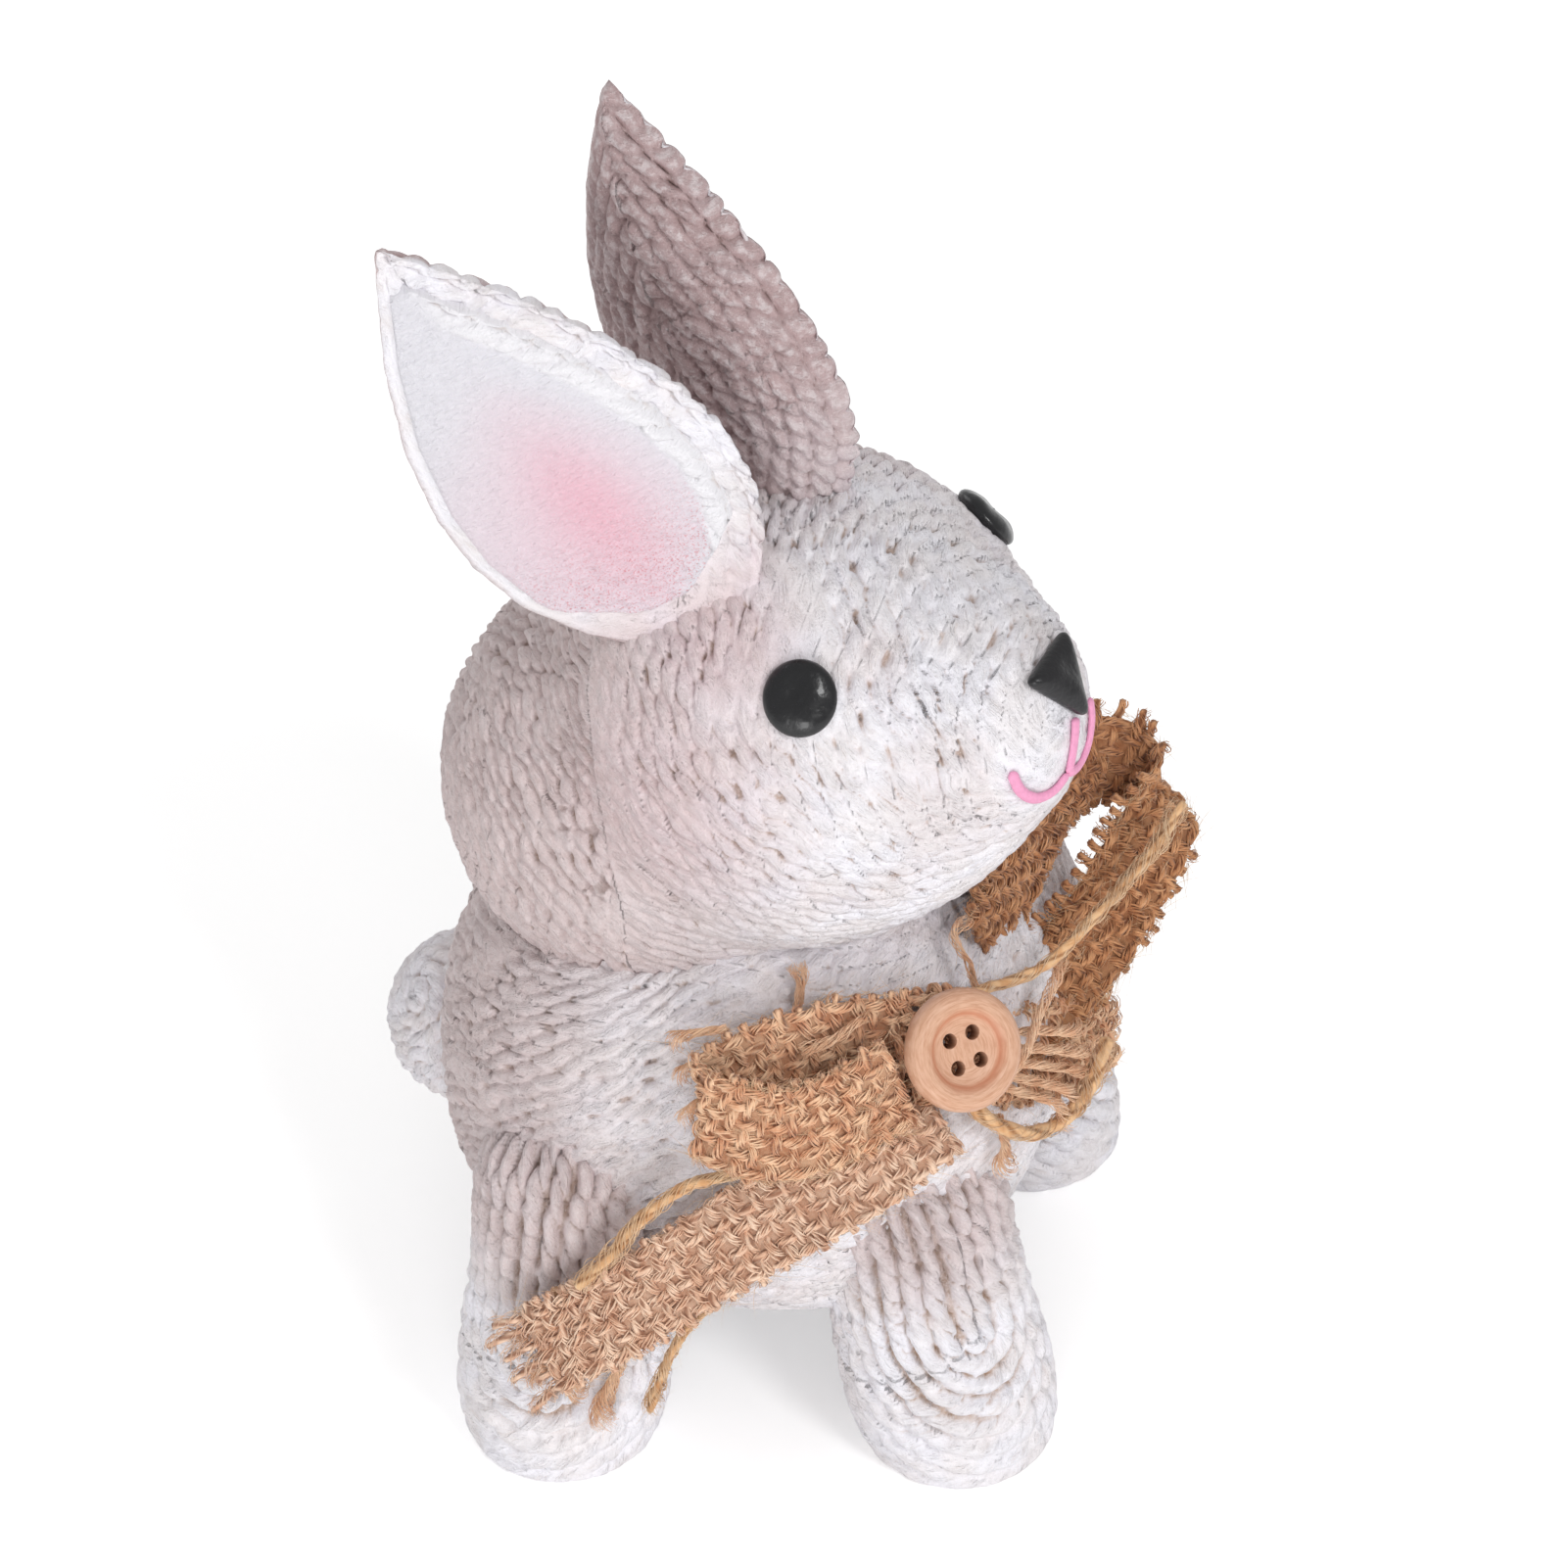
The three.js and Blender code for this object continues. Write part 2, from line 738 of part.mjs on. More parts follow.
// Ears in their sockets
const ears = {};
let headWithPockets = head;
for (const [sideName, ear] of [
  ["right", EAR_RIGHT],
  ["left", EAR_LEFT],
]) {
  const recess = earPanel(ear, SEAT_GAP, EAR_LIP + SEAT_GAP);
  ears[`ear_${sideName}`] = earShell(ear, 0).subtract(recess);
  ears[`ear_lining_${sideName}`] = earPanel(ear, 0, 0);
  headWithPockets = headWithPockets.subtract(earShell(ear, SEAT_GAP));
}

// Face
const worldUp = new THREE.Vector3(0, 0, 1);
const eyeOutline = (grow) => (turn) =>
  (EYE_RADIUS + grow) * (1 + 0.05 * Math.sin(turn) ** 2);
const noseOutline = (grow) => (turn) => {
  const sides = [Math.PI / 2, (7 * Math.PI) / 6, (11 * Math.PI) / 6];
  const sum = sides.reduce(
    (total, side) => total + Math.max(Math.cos(turn - side), 0) ** NOSE_CORNER,
    0,
  );
  return NOSE_HALF_SIDE * sum ** (-1 / NOSE_CORNER) + grow;
};
const face = {};
for (const [sideName, at] of [
  ["right", EYE_RIGHT],
  ["left", EYE_LEFT],
]) {
  const { point, out } = onHead(at);
  face[`eye_${sideName}`] = lens(point, out, worldUp, eyeOutline(0), EYE_BULGE, 24);
  headWithPockets = headWithPockets.subtract(
    lens(point, out, worldUp, eyeOutline(SEAT_GAP), EYE_BULGE + SEAT_GAP, 24),
  );
}
const noseSeat = onHead(NOSE_AT);
const noseRoom = lens(
  noseSeat.point, noseSeat.out, worldUp, noseOutline(SEAT_GAP), NOSE_BULGE + SEAT_GAP, 24,
);
face.nose = lens(noseSeat.point, noseSeat.out, worldUp, noseOutline(0), NOSE_BULGE, 24);
headWithPockets = headWithPockets.subtract(noseRoom);

const mouthLine = (radius) => {
  const raised = (list) => {
    const { point, out } = onHead(list);
    return point.addScaledVector(out, MOUTH_RISE);
  };
  const stem = cord(MOUTH_STEM.map(raised), radius, 6, AROUND_STRAND);
  const right = cord(MOUTH_RIGHT.map(raised), radius, 10, AROUND_STRAND);
  const left = cord(MOUTH_LEFT.map(raised), radius, 8, AROUND_STRAND);
  return stem.add(right).add(left);
};
face.mouth = largest(mouthLine(MOUTH_LINE_RADIUS).subtract(noseRoom));
headWithPockets = headWithPockets.subtract(mouthLine(MOUTH_LINE_RADIUS + SEAT_GAP));

// Button on the knot of the bow
const buttonOut = unit(BUTTON_NORMAL);
const knotMiddle = vec(KNOT_AT);
const buttonMiddle = knotMiddle
  .clone()
  .addScaledVector(buttonOut, KNOT_HALF.out + BUTTON_STAND_OFF + BUTTON_THICKNESS / 2);
const button = buttonSolid(buttonMiddle, buttonOut);
const knotOf = (grow) => {
  const { up, side } = frameOn(buttonOut, worldUp);
  const rings = [];
  const levels = 8;
  for (let level = 1; level < levels; level += 1) {
    const angle = (Math.PI * level) / levels;
    const points = [];
    for (let step = 0; step < AROUND_SMALL; step += 1) {
      const turn = (2 * Math.PI * step) / AROUND_SMALL;
      points.push(
        knotMiddle
          .clone()
          .addScaledVector(side, (KNOT_HALF.across + grow) * Math.sin(angle) * Math.cos(turn))
          .addScaledVector(up, (KNOT_HALF.up + grow) * Math.sin(angle) * Math.sin(turn))
          .addScaledVector(buttonOut, (KNOT_HALF.out + grow) * Math.cos(angle)),
      );
    }
    rings.push(points);
  }
  return skin(
    rings,
    knotMiddle.clone().addScaledVector(buttonOut, KNOT_HALF.out + grow),
    knotMiddle.clone().addScaledVector(buttonOut, -KNOT_HALF.out - grow),
  );
};
const knot = largest(knotOf(0).subtract(clothRoom));
const knotRoom = knotOf(CLOTH_GAP);

// Loose jute strands
const strand = (path, radius, steps) => cord(path.map(vec), radius, steps, AROUND_STRAND);
const strandsOf = (grow) => ({
  jute_strand_long: strand(STRAND_LONG_PATH, STRAND_RADIUS + grow, 24),
  jute_strand_upper: strand(STRAND_UPPER_PATH, STRAND_RADIUS + grow, 20),
  jute_strand_arc: strand(STRAND_ARC_PATH, ARC_RADIUS + grow, 16),
  jute_strand_loose: strand(STRAND_LOOSE_PATH, STRAND_RADIUS + grow, 12),
});
const buttonRoom = buttonPlate(buttonMiddle, buttonOut, SEAT_GAP);
const strands = Object.fromEntries(
  Object.entries(strandsOf(0)).map(([name, solid]) => [
    name,
    largest(solid.subtract(buttonRoom).subtract(knotRoom).subtract(clothRoom)),
  ]),
);
const strandRooms = Object.values(strandsOf(SEAT_GAP));

// Strips of the bow, each kept clear of what it lies on
const legRoom = legSolid(HIND_SOLE, HIND_TOP, -1, CLOTH_GAP);
const trimmed = (solid, ...rooms) =>
  largest(
    [...rooms, buttonRoom, ...strandRooms].reduce(
      (rest, room) => rest.subtract(room),
      solid.subtract(clothRoom),
    ),
  );
const loopRight = trimmed(strip(LOOP_RIGHT_PATH, LOOP_RIGHT_WIDE, 0), knotRoom);
const loopLeft = trimmed(strip(LOOP_LEFT_PATH, LOOP_LEFT_WIDE, 0), knotRoom);
const stripRoomRight = strip(LOOP_RIGHT_PATH, LOOP_RIGHT_WIDE, CLOTH_GAP);
const stripRoomLeft = strip(LOOP_LEFT_PATH, LOOP_LEFT_WIDE, CLOTH_GAP);
const tailRight = trimmed(
  strip(TAIL_RIGHT_PATH, TAIL_RIGHT_WIDE, 0), knotRoom, stripRoomRight, legRoom,
);
const tailLeft = trimmed(strip(TAIL_LEFT_PATH, TAIL_LEFT_WIDE, 0), knotRoom, stripRoomLeft);

const nodes = {
  torso: largest(torso),
  head: largest(headWithPockets),
  ...ears,
  ...face,
  ...Object.fromEntries(
    Object.entries(legs).map(([name, solid]) => [name, largest(solid.subtract(torsoRoom))]),
  ),
  tail: largest(tail.subtract(torsoRoom)),
  bow_knot: knot,
  bow_loop_right: loopRight,
  bow_loop_left: loopLeft,
  bow_tail_right: tailRight,
  bow_tail_left: tailLeft,
  button,
  ...strands,
};

const COLOURS = {
  torso: 0xe6dcd8,
  head: 0xefe8e4,
  ear: 0xcfc0bc,
  ear_lining: 0xf4c4d0,
  eye: 0x101010,
  nose: 0x181818,
  mouth: 0xe88ab0,
  leg: 0xe8e4e2,
  tail: 0xf0eeec,
  bow: 0xc8966a,
  button: 0xdca67c,
  jute: 0xd0a878,
};

// Cords that hang free and don't set the centre of the whole
const FREE_CORDS = ["jute_strand_long", "jute_strand_upper"];

// Named pieces, with the whole set on the ground and centred
const group = new THREE.Group();
group.name = "resin_rabbit_figurine";
const geometries = Object.entries(nodes).map(([name, solid]) => {
  const mesh = solid.getMesh();
  const geometry = new THREE.BufferGeometry();
  const positions = [];
  for (let corner = 0; corner < mesh.vertProperties.length; corner += mesh.numProp) {
    positions.push(...mesh.vertProperties.slice(corner, corner + 3));
  }
  geometry.setAttribute("position", new THREE.Float32BufferAttribute(positions, 3));
  geometry.setIndex(new THREE.BufferAttribute(new Uint32Array(mesh.triVerts), 1));
  return [name, geometry];
});
const bounds = new THREE.Box3();
for (const [name, geometry] of geometries) {
  geometry.computeBoundingBox();
  if (!FREE_CORDS.includes(name)) {
    bounds.union(geometry.boundingBox);
  }
}
const centre = bounds.getCenter(new THREE.Vector3());
for (const [name, geometry] of geometries) {
  geometry.translate(-centre.x, -centre.y, -bounds.min.z);
  const key = Object.keys(COLOURS)
    .filter((word) => name.startsWith(word))
    .sort((a, b) => b.length - a.length)[0];
  const material = new THREE.MeshStandardMaterial({ color: COLOURS[key], roughness: 0.7 });
  const mesh = new THREE.Mesh(geometry, material);
  mesh.name = name;
  group.add(mesh);
}

export default group;
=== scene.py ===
"""Dresses the wound rabbit figurine: twisted cord relief, burlap bow, wooden button and soft studio light."""
import json
import math

import bmesh
import bpy
import numpy as np
from mathutils import Matrix, Vector


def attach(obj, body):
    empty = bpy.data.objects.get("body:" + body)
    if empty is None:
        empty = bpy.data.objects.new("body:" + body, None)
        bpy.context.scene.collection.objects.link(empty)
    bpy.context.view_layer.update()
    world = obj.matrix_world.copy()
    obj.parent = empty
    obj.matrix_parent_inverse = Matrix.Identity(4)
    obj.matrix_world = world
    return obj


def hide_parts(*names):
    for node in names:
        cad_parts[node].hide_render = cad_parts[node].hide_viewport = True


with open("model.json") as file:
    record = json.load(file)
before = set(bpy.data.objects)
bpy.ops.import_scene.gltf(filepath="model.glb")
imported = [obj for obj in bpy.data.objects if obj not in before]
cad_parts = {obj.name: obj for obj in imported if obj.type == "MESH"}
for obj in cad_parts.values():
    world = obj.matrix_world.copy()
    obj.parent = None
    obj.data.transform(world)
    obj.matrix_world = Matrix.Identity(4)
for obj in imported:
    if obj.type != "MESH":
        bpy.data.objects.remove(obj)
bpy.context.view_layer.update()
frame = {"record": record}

# Lengths below are millimetres in the part's own drawing frame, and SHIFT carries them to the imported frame
MM = 0.001
MOUNTS = {mount["name"]: mount["pos_m"] for mount in frame["record"]["mounts"]}
SOLE_RIGHT = np.array([-26.5, -32.0, 0.0])
SHIFT = np.array(MOUNTS["sole_front_right"]) / MM - SOLE_RIGHT
UPRIGHT = np.array([0.0, 0.0, 1.0])

# Sizes shared with the part
HEAD_MIDDLE = np.array([0.0, 1.0, 88.5])
HEAD_BALLS = [
    ((1.5, 11.5, 80.3), 28.8),
    ((0.5, -4.6, 95.9), 31.6),
    ((-5.0, -16.0, 99.0), 23.0),
    ((-7.5, -26.0, 104.0), 15.8),
]
HEAD_BLEND = 18
TORSO_MIDDLE = np.array([0.0, -2.0, 43.0])
TORSO_LUMPS = [
    ((0.0, 0.5, 41.0), (38.2, 39.8, 32.5), 2.5),
    ((0.0, -6.5, 51.0), (35.5, 36.5, 26.0), 2.2),
]
TORSO_BLEND = 16
SKIN_SHARE = 0.99
FRONT_SOLE, FRONT_TOP = (26.5, -32.0), (23.0, -24.0, 40.0)
HIND_SOLE, HIND_TOP = (36.0, 18.0), (32.0, 17.0, 37.0)
LEG_RADIUS = 12.8
PAW_PROFILE = [(0.0, 12.0), (0.48, 12.84), (1.2, 13.2), (4.0, 13.95), (8.0, 14.2), (12.8, 14.2)]
TAIL_MIDDLE = np.array([0.0, 37.8, 33.0])
TAIL_RADIUS = 12.0
EARS = {
    "right": dict(
        base=(-13.9, 0.6, 115), tip=(-25.6, 35.6, 173.2), face=(-0.97, -0.22, 0.05), rear=1, white=1,
    ),
    "left": dict(base=(8.7, -4.3, 115), tip=(8, 18, 175.5), face=(0.9, -0.43, 0.05), rear=-1, white=0),
}
EAR_WIDTH = 35.0
EAR_BACK_DEPTH = 9.0
EAR_LIP = 1.6
EAR_OUTLINE = [
    (0, 0.06), (0.025, 0.28), (0.07, 0.48), (0.15, 0.72), (0.26, 0.93), (0.38, 1),
    (0.5, 0.96), (0.65, 0.8), (0.8, 0.53), (0.92, 0.25), (1, 0.05),
]
PANEL_BORDER = 2.9
PANEL_SHIFT = 1.1
PANEL_FROM, PANEL_TO = 0.14, 0.93
PANEL_DOME = 0.9
EYES = {"right": (-23.8, -10.6, 116.8), "left": (15.5, -24.5, 114.0)}
EYE_RADIUS, EYE_BULGE = 4.3, 1.5
NOSE_AT = (-10.4, -38.2, 113.6)
NOSE_HALF_SIDE, NOSE_CORNER = 3.2, 6
MOUTH_STEM = [(-11.6, -40.6, 108.8), (-13.2, -40.6, 105.6), (-14.3, -40.4, 102.5)]
MOUTH_RIGHT = [
    (-14.3, -40.4, 102.5), (-16.6, -39.2, 101.4), (-18.9, -37.5, 102), (-20.5, -35.9, 104.3),
    (-20.9, -34.8, 107.3),
]
MOUTH_LEFT = [
    (-14.3, -40.4, 102.5), (-11.9, -40.8, 101.4), (-9.2, -40.8, 102), (-7.2, -40.4, 104.3),
    (-6.4, -39.8, 107),
]
STRIP_WIDTH = 12.0
STRIPS = {
    "bow_loop_right": dict(
        path=[
            (-26, -24, 66.4), (-29.8, -16, 67.4), (-33.6, -9, 66.4), (-36.6, -4.4, 64.8), (-38.6, -2, 64.4),
            (-41, -2.6, 64.8), (-42.2, -6, 64), (-41, -12, 62.6), (-37.4, -18.5, 63.6), (-32.3, -24.5, 65.6),
        ],
        wide=[(0.42, 0.1, 0.9), (0.42, 0.1, 0.9)],
    ),
    "bow_loop_left": dict(
        path=[
            (-19, -31, 62.5), (-11, -36.6, 60), (-5, -40.2, 61.6), (0, -43.2, 64.3),
            (5, -46, 67.8), (9.5, -48, 71),
            (13.4, -48.8, 73.6), (16.6, -47.4, 75.4), (17.8, -43.8, 76.6), (16.4, -39.4, 77.8), (12, -36, 78),
            (5, -34, 76.2), (-4, -32.6, 72.6), (-12, -30.6, 70),
        ],
        wide=[(0.36, 0.74, 0.57), (0, 0.2, 0.98)],
    ),
    "bow_tail_right": dict(
        path=[
            (-30, -28.5, 58.7), (-36, -23, 56.5), (-40, -17, 52.9), (-42.2, -10.5, 48.4), (-44.6, -4, 43.2),
            (-47.8, 3.5, 37.9), (-50.6, 10, 33.6), (-52.2, 16.5, 29.4),
        ],
        wide=[(0.35, 0.6, 0.72), (0.35, 0.6, 0.72)],
    ),
    "bow_tail_left": dict(
        path=[(-20, -34.5, 60), (-13, -40.5, 55.5), (-6, -43.8, 52.5), (0, -45, 50)],
        wide=[(0.3, 0.3, 0.9), (0.3, 0.3, 0.9)],
    ),
}
KNOT_AT = np.array([-24.3, -27.8, 64.6])
KNOT_HALF = (6.5, 7.5, 4.0)
BUTTON_NORMAL = np.array([-0.6, -0.54, 0.59])
BUTTON_RADIUS, BUTTON_THICK, BUTTON_STAND_OFF = 7.5, 3.4, 1.0
BUTTON_DISH_RADIUS, BUTTON_HOLE_RADIUS, BUTTON_HOLE_SPACING = 4.5, 0.95, 3.5
STRAND_LONG = [
    (-37, -20.9, 58.6), (-39.8, -14.2, 57.6), (-41.8, -7.5, 56.2), (-43.2, -0.5, 53.2), (-45.2, 4.6, 48.4),
    (-48, 8.4, 43.4), (-50.4, 11.5, 40.6),
]
STRAND_UPPER = [
    (-23, -30.6, 72.6), (-19, -33.2, 70.6), (-13, -38.6, 69.5), (-8, -42.6, 72), (-3, -46, 74.6),
    (2, -49.2, 77),
    (7, -52, 81),
]
STRAND_ARC = [
    (-26.5, -31, 60.5), (-27.6, -34, 57.2), (-26, -37.8, 53.7), (-23, -41, 51.4), (-19.8, -44, 52.4),
    (-16.8, -46.2, 56.3), (-14.4, -47, 60),
]
STRAND_LOOSE = [(-45.8, -4.4, 36.6), (-47.6, -1.3, 32.6), (-48.8, 1.1, 26.4), (-49.6, 3, 19)]

# Winding and finish sizes
ROW_PITCH = 2.6
ROW_LOBE = 3.3
ROW_TWIST = 2.7
LEG_PITCH = 3.2
LEG_LOBE = 3.9
LEG_TWIST = -2.3
EAR_PITCH = 2.8
EAR_LOBE = 3.5
EAR_TWIST = -2.4
TAIL_TWIST = 2.3


# Random draws, noise and small helpers
def hashed(ix, iy, iz, seed):
    h = (ix * 374761393 + iy * 668265263 + iz * 1103515245 + seed * 1274126177) & 0xFFFFFFFF
    h = ((h ^ (h >> 13)) * 1274126177) & 0xFFFFFFFF
    return (h ^ (h >> 16)) / 4294967295.0


def noise(points, size, seed):
    """Smooth value noise from -1 to 1 at each point, with lumps about size across."""
    scaled = np.asarray(points, float) / size + 1000.0
    cell = np.floor(scaled).astype(np.int64)
    part = scaled - cell
    part = part * part * (3 - 2 * part)
    total = 0.0
    for corner in np.ndindex(2, 2, 2):
        share = np.where(corner, part, 1 - part)
        total = total + share[:, 0] * share[:, 1] * share[:, 2] * hashed(*(cell + corner).T, seed)
    return total * 2 - 1


def smoothstep(low, high, value):
    share = np.clip((value - low) / (high - low), 0, 1)
    return share * share * (3 - 2 * share)


def unit(vector):
    vector = np.asarray(vector, float)
    return vector / np.maximum(np.linalg.norm(vector, axis=-1, keepdims=True), 1e-12)


def square_to(direction, wished):
    """The unit part of a wished direction that is square to another."""
    wished = np.asarray(wished, float)
    return unit(wished - direction * (wished @ direction))


def near(points, spot, low, high, stretch=1.0):
    """Share that rises from 0 at distance low from a spot to 1 at distance high."""
    return smoothstep(low, high, np.linalg.norm((points - np.array(spot)) * stretch, axis=1))


def arc_length(path):
    return np.concatenate([[0], np.cumsum(np.linalg.norm(np.diff(path, axis=0), axis=1))])


def full_turn(count):
    return np.linspace(0, 2 * math.pi, count, endpoint=False)


def grid(first, second):
    """Two flat lists with every pair of values from two lists."""
    a, b = np.meshgrid(first, second, indexing="ij")
    return a.ravel(), b.ravel()


# Skins of the part
def head_reach(direction):
    total = 0
    for centre, radius in HEAD_BALLS:
        offset = np.array(centre) - HEAD_MIDDLE
        along = direction @ offset
        inside = along**2 - offset @ offset + radius**2
        reach = np.where(inside > 0, along + np.sqrt(np.maximum(inside, 0)), 1)
        total = total + np.maximum(reach, 1) ** HEAD_BLEND
    return SKIN_SHARE * total ** (1 / HEAD_BLEND)


def torso_reach(direction):
    total = 0
    for centre, half, power in TORSO_LUMPS:
        offset = TORSO_MIDDLE - np.array(centre)
        low = np.zeros(len(direction))
        high = np.full(len(direction), 90.0)
        for _ in range(34):
            middle = (low + high) / 2
            point = np.abs(offset + direction * middle[:, None]) / np.array(half)
            outside = (point**power).sum(1) > 1
            high = np.where(outside, middle, high)
            low = np.where(outside, low, middle)
        total = total + low**TORSO_BLEND
    return SKIN_SHARE * total ** (1 / TORSO_BLEND)


def tail_reach(direction):
    return np.full(len(direction), TAIL_RADIUS)


def leg_centre(sole, top, side, height):
    share = np.minimum(height / top[2], 1.2)
    x = side * (sole[0] + (top[0] - sole[0]) * share)
    y = sole[1] + (top[1] - sole[1]) * share
    return np.stack([x, y, height], -1)


def ear_half_width(share):
    shares, widths = zip(*EAR_OUTLINE)
    return EAR_WIDTH / 2 * np.interp(share, shares, widths)


def ear_frame(ear):
    base, tip = np.array(ear["base"], float), np.array(ear["tip"], float)
    length = np.linalg.norm(tip - base)
    along = (tip - base) / length
    face = square_to(along, ear["face"])
    return base, along, face, np.cross(face, along), length


# Mesh making
def linked(name, data):
    thing = bpy.data.objects.new(name, data)
    bpy.context.scene.collection.objects.link(thing)
    return thing


def dressed(piece, paint, node=None):
    """Gives a piece its paint and a place under the root, and hides the node of the part that it stands for.
    """
    piece.data.materials.append(paint)
    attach(piece, "root")
    if node:
        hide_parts(node)
    return piece


def write_fields(mesh, fields):
    for key, values in fields.items():
        values = np.asarray(values, np.float32)
        single = values.ndim == 1
        layer = mesh.attributes.new(key, "FLOAT" if single else "FLOAT_VECTOR", "POINT")
        layer.data.foreach_set("value" if single else "vector", values.ravel())
    mesh.shade_smooth()


def write_points(mesh, points):
    """Drawing frame points in millimetres as a mesh's own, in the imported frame."""
    mesh.vertices.foreach_set("co", ((points + SHIFT) * MM).astype(np.float32).ravel())


def mesh_object(name, points, faces, fields, paint, slot, node=None):
    """A piece from points, and faces as arrays of equal corner counts."""
    mesh = bpy.data.meshes.new(name)
    mesh.vertices.add(len(points))
    write_points(mesh, points)
    corners = np.concatenate([group.ravel() for group in faces]).astype(np.int32)
    counts = np.concatenate([np.full(len(group), group.shape[1]) for group in faces])
    starts = np.concatenate([[0], np.cumsum(counts)[:-1]]).astype(np.int32)
    mesh.loops.add(len(corners))
    mesh.loops.foreach_set("vertex_index", corners)
    mesh.polygons.add(len(starts))
    mesh.polygons.foreach_set("loop_start", starts)
    mesh.update(calc_edges=True)
    write_fields(mesh, fields)
    return dressed(linked(name, mesh), paint, node)


def sphere_grid(count):
    """Unit directions over an even cube grid, and the quads between them."""
    side, quads = count + 1, []
    a, b = np.meshgrid(np.arange(side), np.arange(side), indexing="ij")
    for axis in range(3):
        for end in (0, count):
            lattice = np.roll([np.full_like(a, end), a, b], axis, axis=0)
            key = lattice[0] + side * (lattice[1] + side * lattice[2])
            corners = [key[:-1, :-1], key[1:, :-1], key[1:, 1:], key[:-1, 1:]]
            quads.append(np.stack([corner.ravel() for corner in corners[::1 if end else -1]], 1))
    unique, quads = np.unique(np.concatenate(quads), return_inverse=True)
    lattice = np.stack([unique % side, unique // side % side, unique // side**2], 1)
    return unit(np.tan((lattice / count * 2 - 1) * math.pi / 4)), quads.reshape(-1, 4)


def surface_normals(points, faces):
    """Average normals of a grid mesh."""
    corner = points[faces]
    normal = np.cross(corner[:, 2] - corner[:, 0], corner[:, 3] - corner[:, 1])
    total = np.zeros_like(points)
    for column in range(4):
        for axis in range(3):
            total[:, axis] += np.bincount(faces[:, column], normal[:, axis], len(points))
    return unit(total)


def ring_grid(rings, around):
    """Quads joining rings of points, and caps of triangles to two added end points."""
    step = np.arange(around)
    after = (step + 1) % around
    start = (np.arange(rings - 1) * around)[:, None]
    quads = np.stack([start + step, start + after, start + around + after, start + around + step], -1)
    top, end = (rings - 1) * around, np.full(around, rings * around)
    caps = [np.stack([after, step, end], 1), np.stack([top + step, top + after, end + 1], 1)]
    return [quads.reshape(-1, 4), np.concatenate(caps)]


# Cord relief
def crown(x):
    """Round section of a cord, 1 at its middle and low at its edges, for x from -0.5 to 0.5."""
    return np.sqrt(np.maximum(1 - 0.93 * (2 * x) ** 2, 0))


class PoleRows:
    """Rows that spiral round a pole over a star-shaped skin, the pole drifting as the rows go."""

    def __init__(self, reach, first_axis, last_axis, sweep):
        self.first, self.last, self.sweep = unit(first_axis), unit(last_axis), sweep
        self.turns = np.linspace(0, sweep, 161)
        self.rounds = np.linspace(0, 2 * math.pi, 145)
        direction = self.direction(*grid(self.turns, self.rounds))
        points = (direction * reach(direction)[:, None]).reshape(len(self.turns), len(self.rounds), 3)
        steps = np.linalg.norm(np.diff(points, axis=0), axis=2)
        self.arc = np.concatenate([np.zeros((1, len(self.rounds))), np.cumsum(steps, 0)])
        girth = np.linalg.norm(np.diff(points, axis=1), axis=2).sum(1)
        mean_arc = self.arc.mean(1)
        middles = (np.arange(int(mean_arc[-1] / ROW_PITCH) + 4) + 0.5) * ROW_PITCH
        self.lobes = np.maximum(np.round(np.interp(middles, mean_arc, girth) / ROW_LOBE), 3)
        self.before = np.concatenate([[0], np.cumsum(self.lobes)[:-1]])

    def axes(self, turn):
        share = np.clip(turn / self.sweep, 0, 1)[..., None]
        axis = unit(self.first * (1 - share) + self.last * share)
        side = unit(np.cross(UPRIGHT if abs(self.first[2]) < 0.8 else (0.0, 1.0, 0.0), axis))
        return axis, side, np.cross(axis, side)

    def direction(self, turn, around):
        axis, side, up = self.axes(turn)
        ring = side * np.cos(around)[..., None] + up * np.sin(around)[..., None]
        return axis * np.cos(turn)[..., None] + ring * np.sin(turn)[..., None]

    def rows(self, direction, wander):
        """Place across the row, lobe number along the whole spiral, and turn from the pole."""
        turn = np.arccos(np.clip(direction @ self.first, -1, 1))
        for _ in range(12):
            turn = np.arccos(np.clip((direction * self.axes(turn)[0]).sum(1), -1, 1))
        _, side, up = self.axes(turn)
        around = np.arctan2((direction * up).sum(1), (direction * side).sum(1)) % (2 * math.pi)
        i = np.clip(np.searchsorted(self.turns, turn) - 1, 0, len(self.turns) - 2)
        j = np.clip(np.searchsorted(self.rounds, around) - 1, 0, len(self.rounds) - 2)
        p = np.clip((turn - self.turns[i]) / (self.turns[1] - self.turns[0]), 0, 1)
        q = (around - self.rounds[j]) / (self.rounds[1] - self.rounds[0])
        arc = (
            self.arc[i, j] * (1 - p) * (1 - q) + self.arc[i + 1, j] * p * (1 - q)
            + self.arc[i, j + 1] * (1 - p) * q + self.arc[i + 1, j + 1] * p * q
        )
        # The spiral climbs a row in each turn, and starts a turn late so that no row number is negative
        number = (arc + wander) / ROW_PITCH - around / (2 * math.pi) + 1
        row = np.clip(np.floor(number).astype(int), 0, len(self.lobes) - 1)
        lobe = self.before[row] + around / (2 * math.pi) * self.lobes[row]
        return np.clip(number - row - 0.5, -0.5, 0.5), lobe, turn


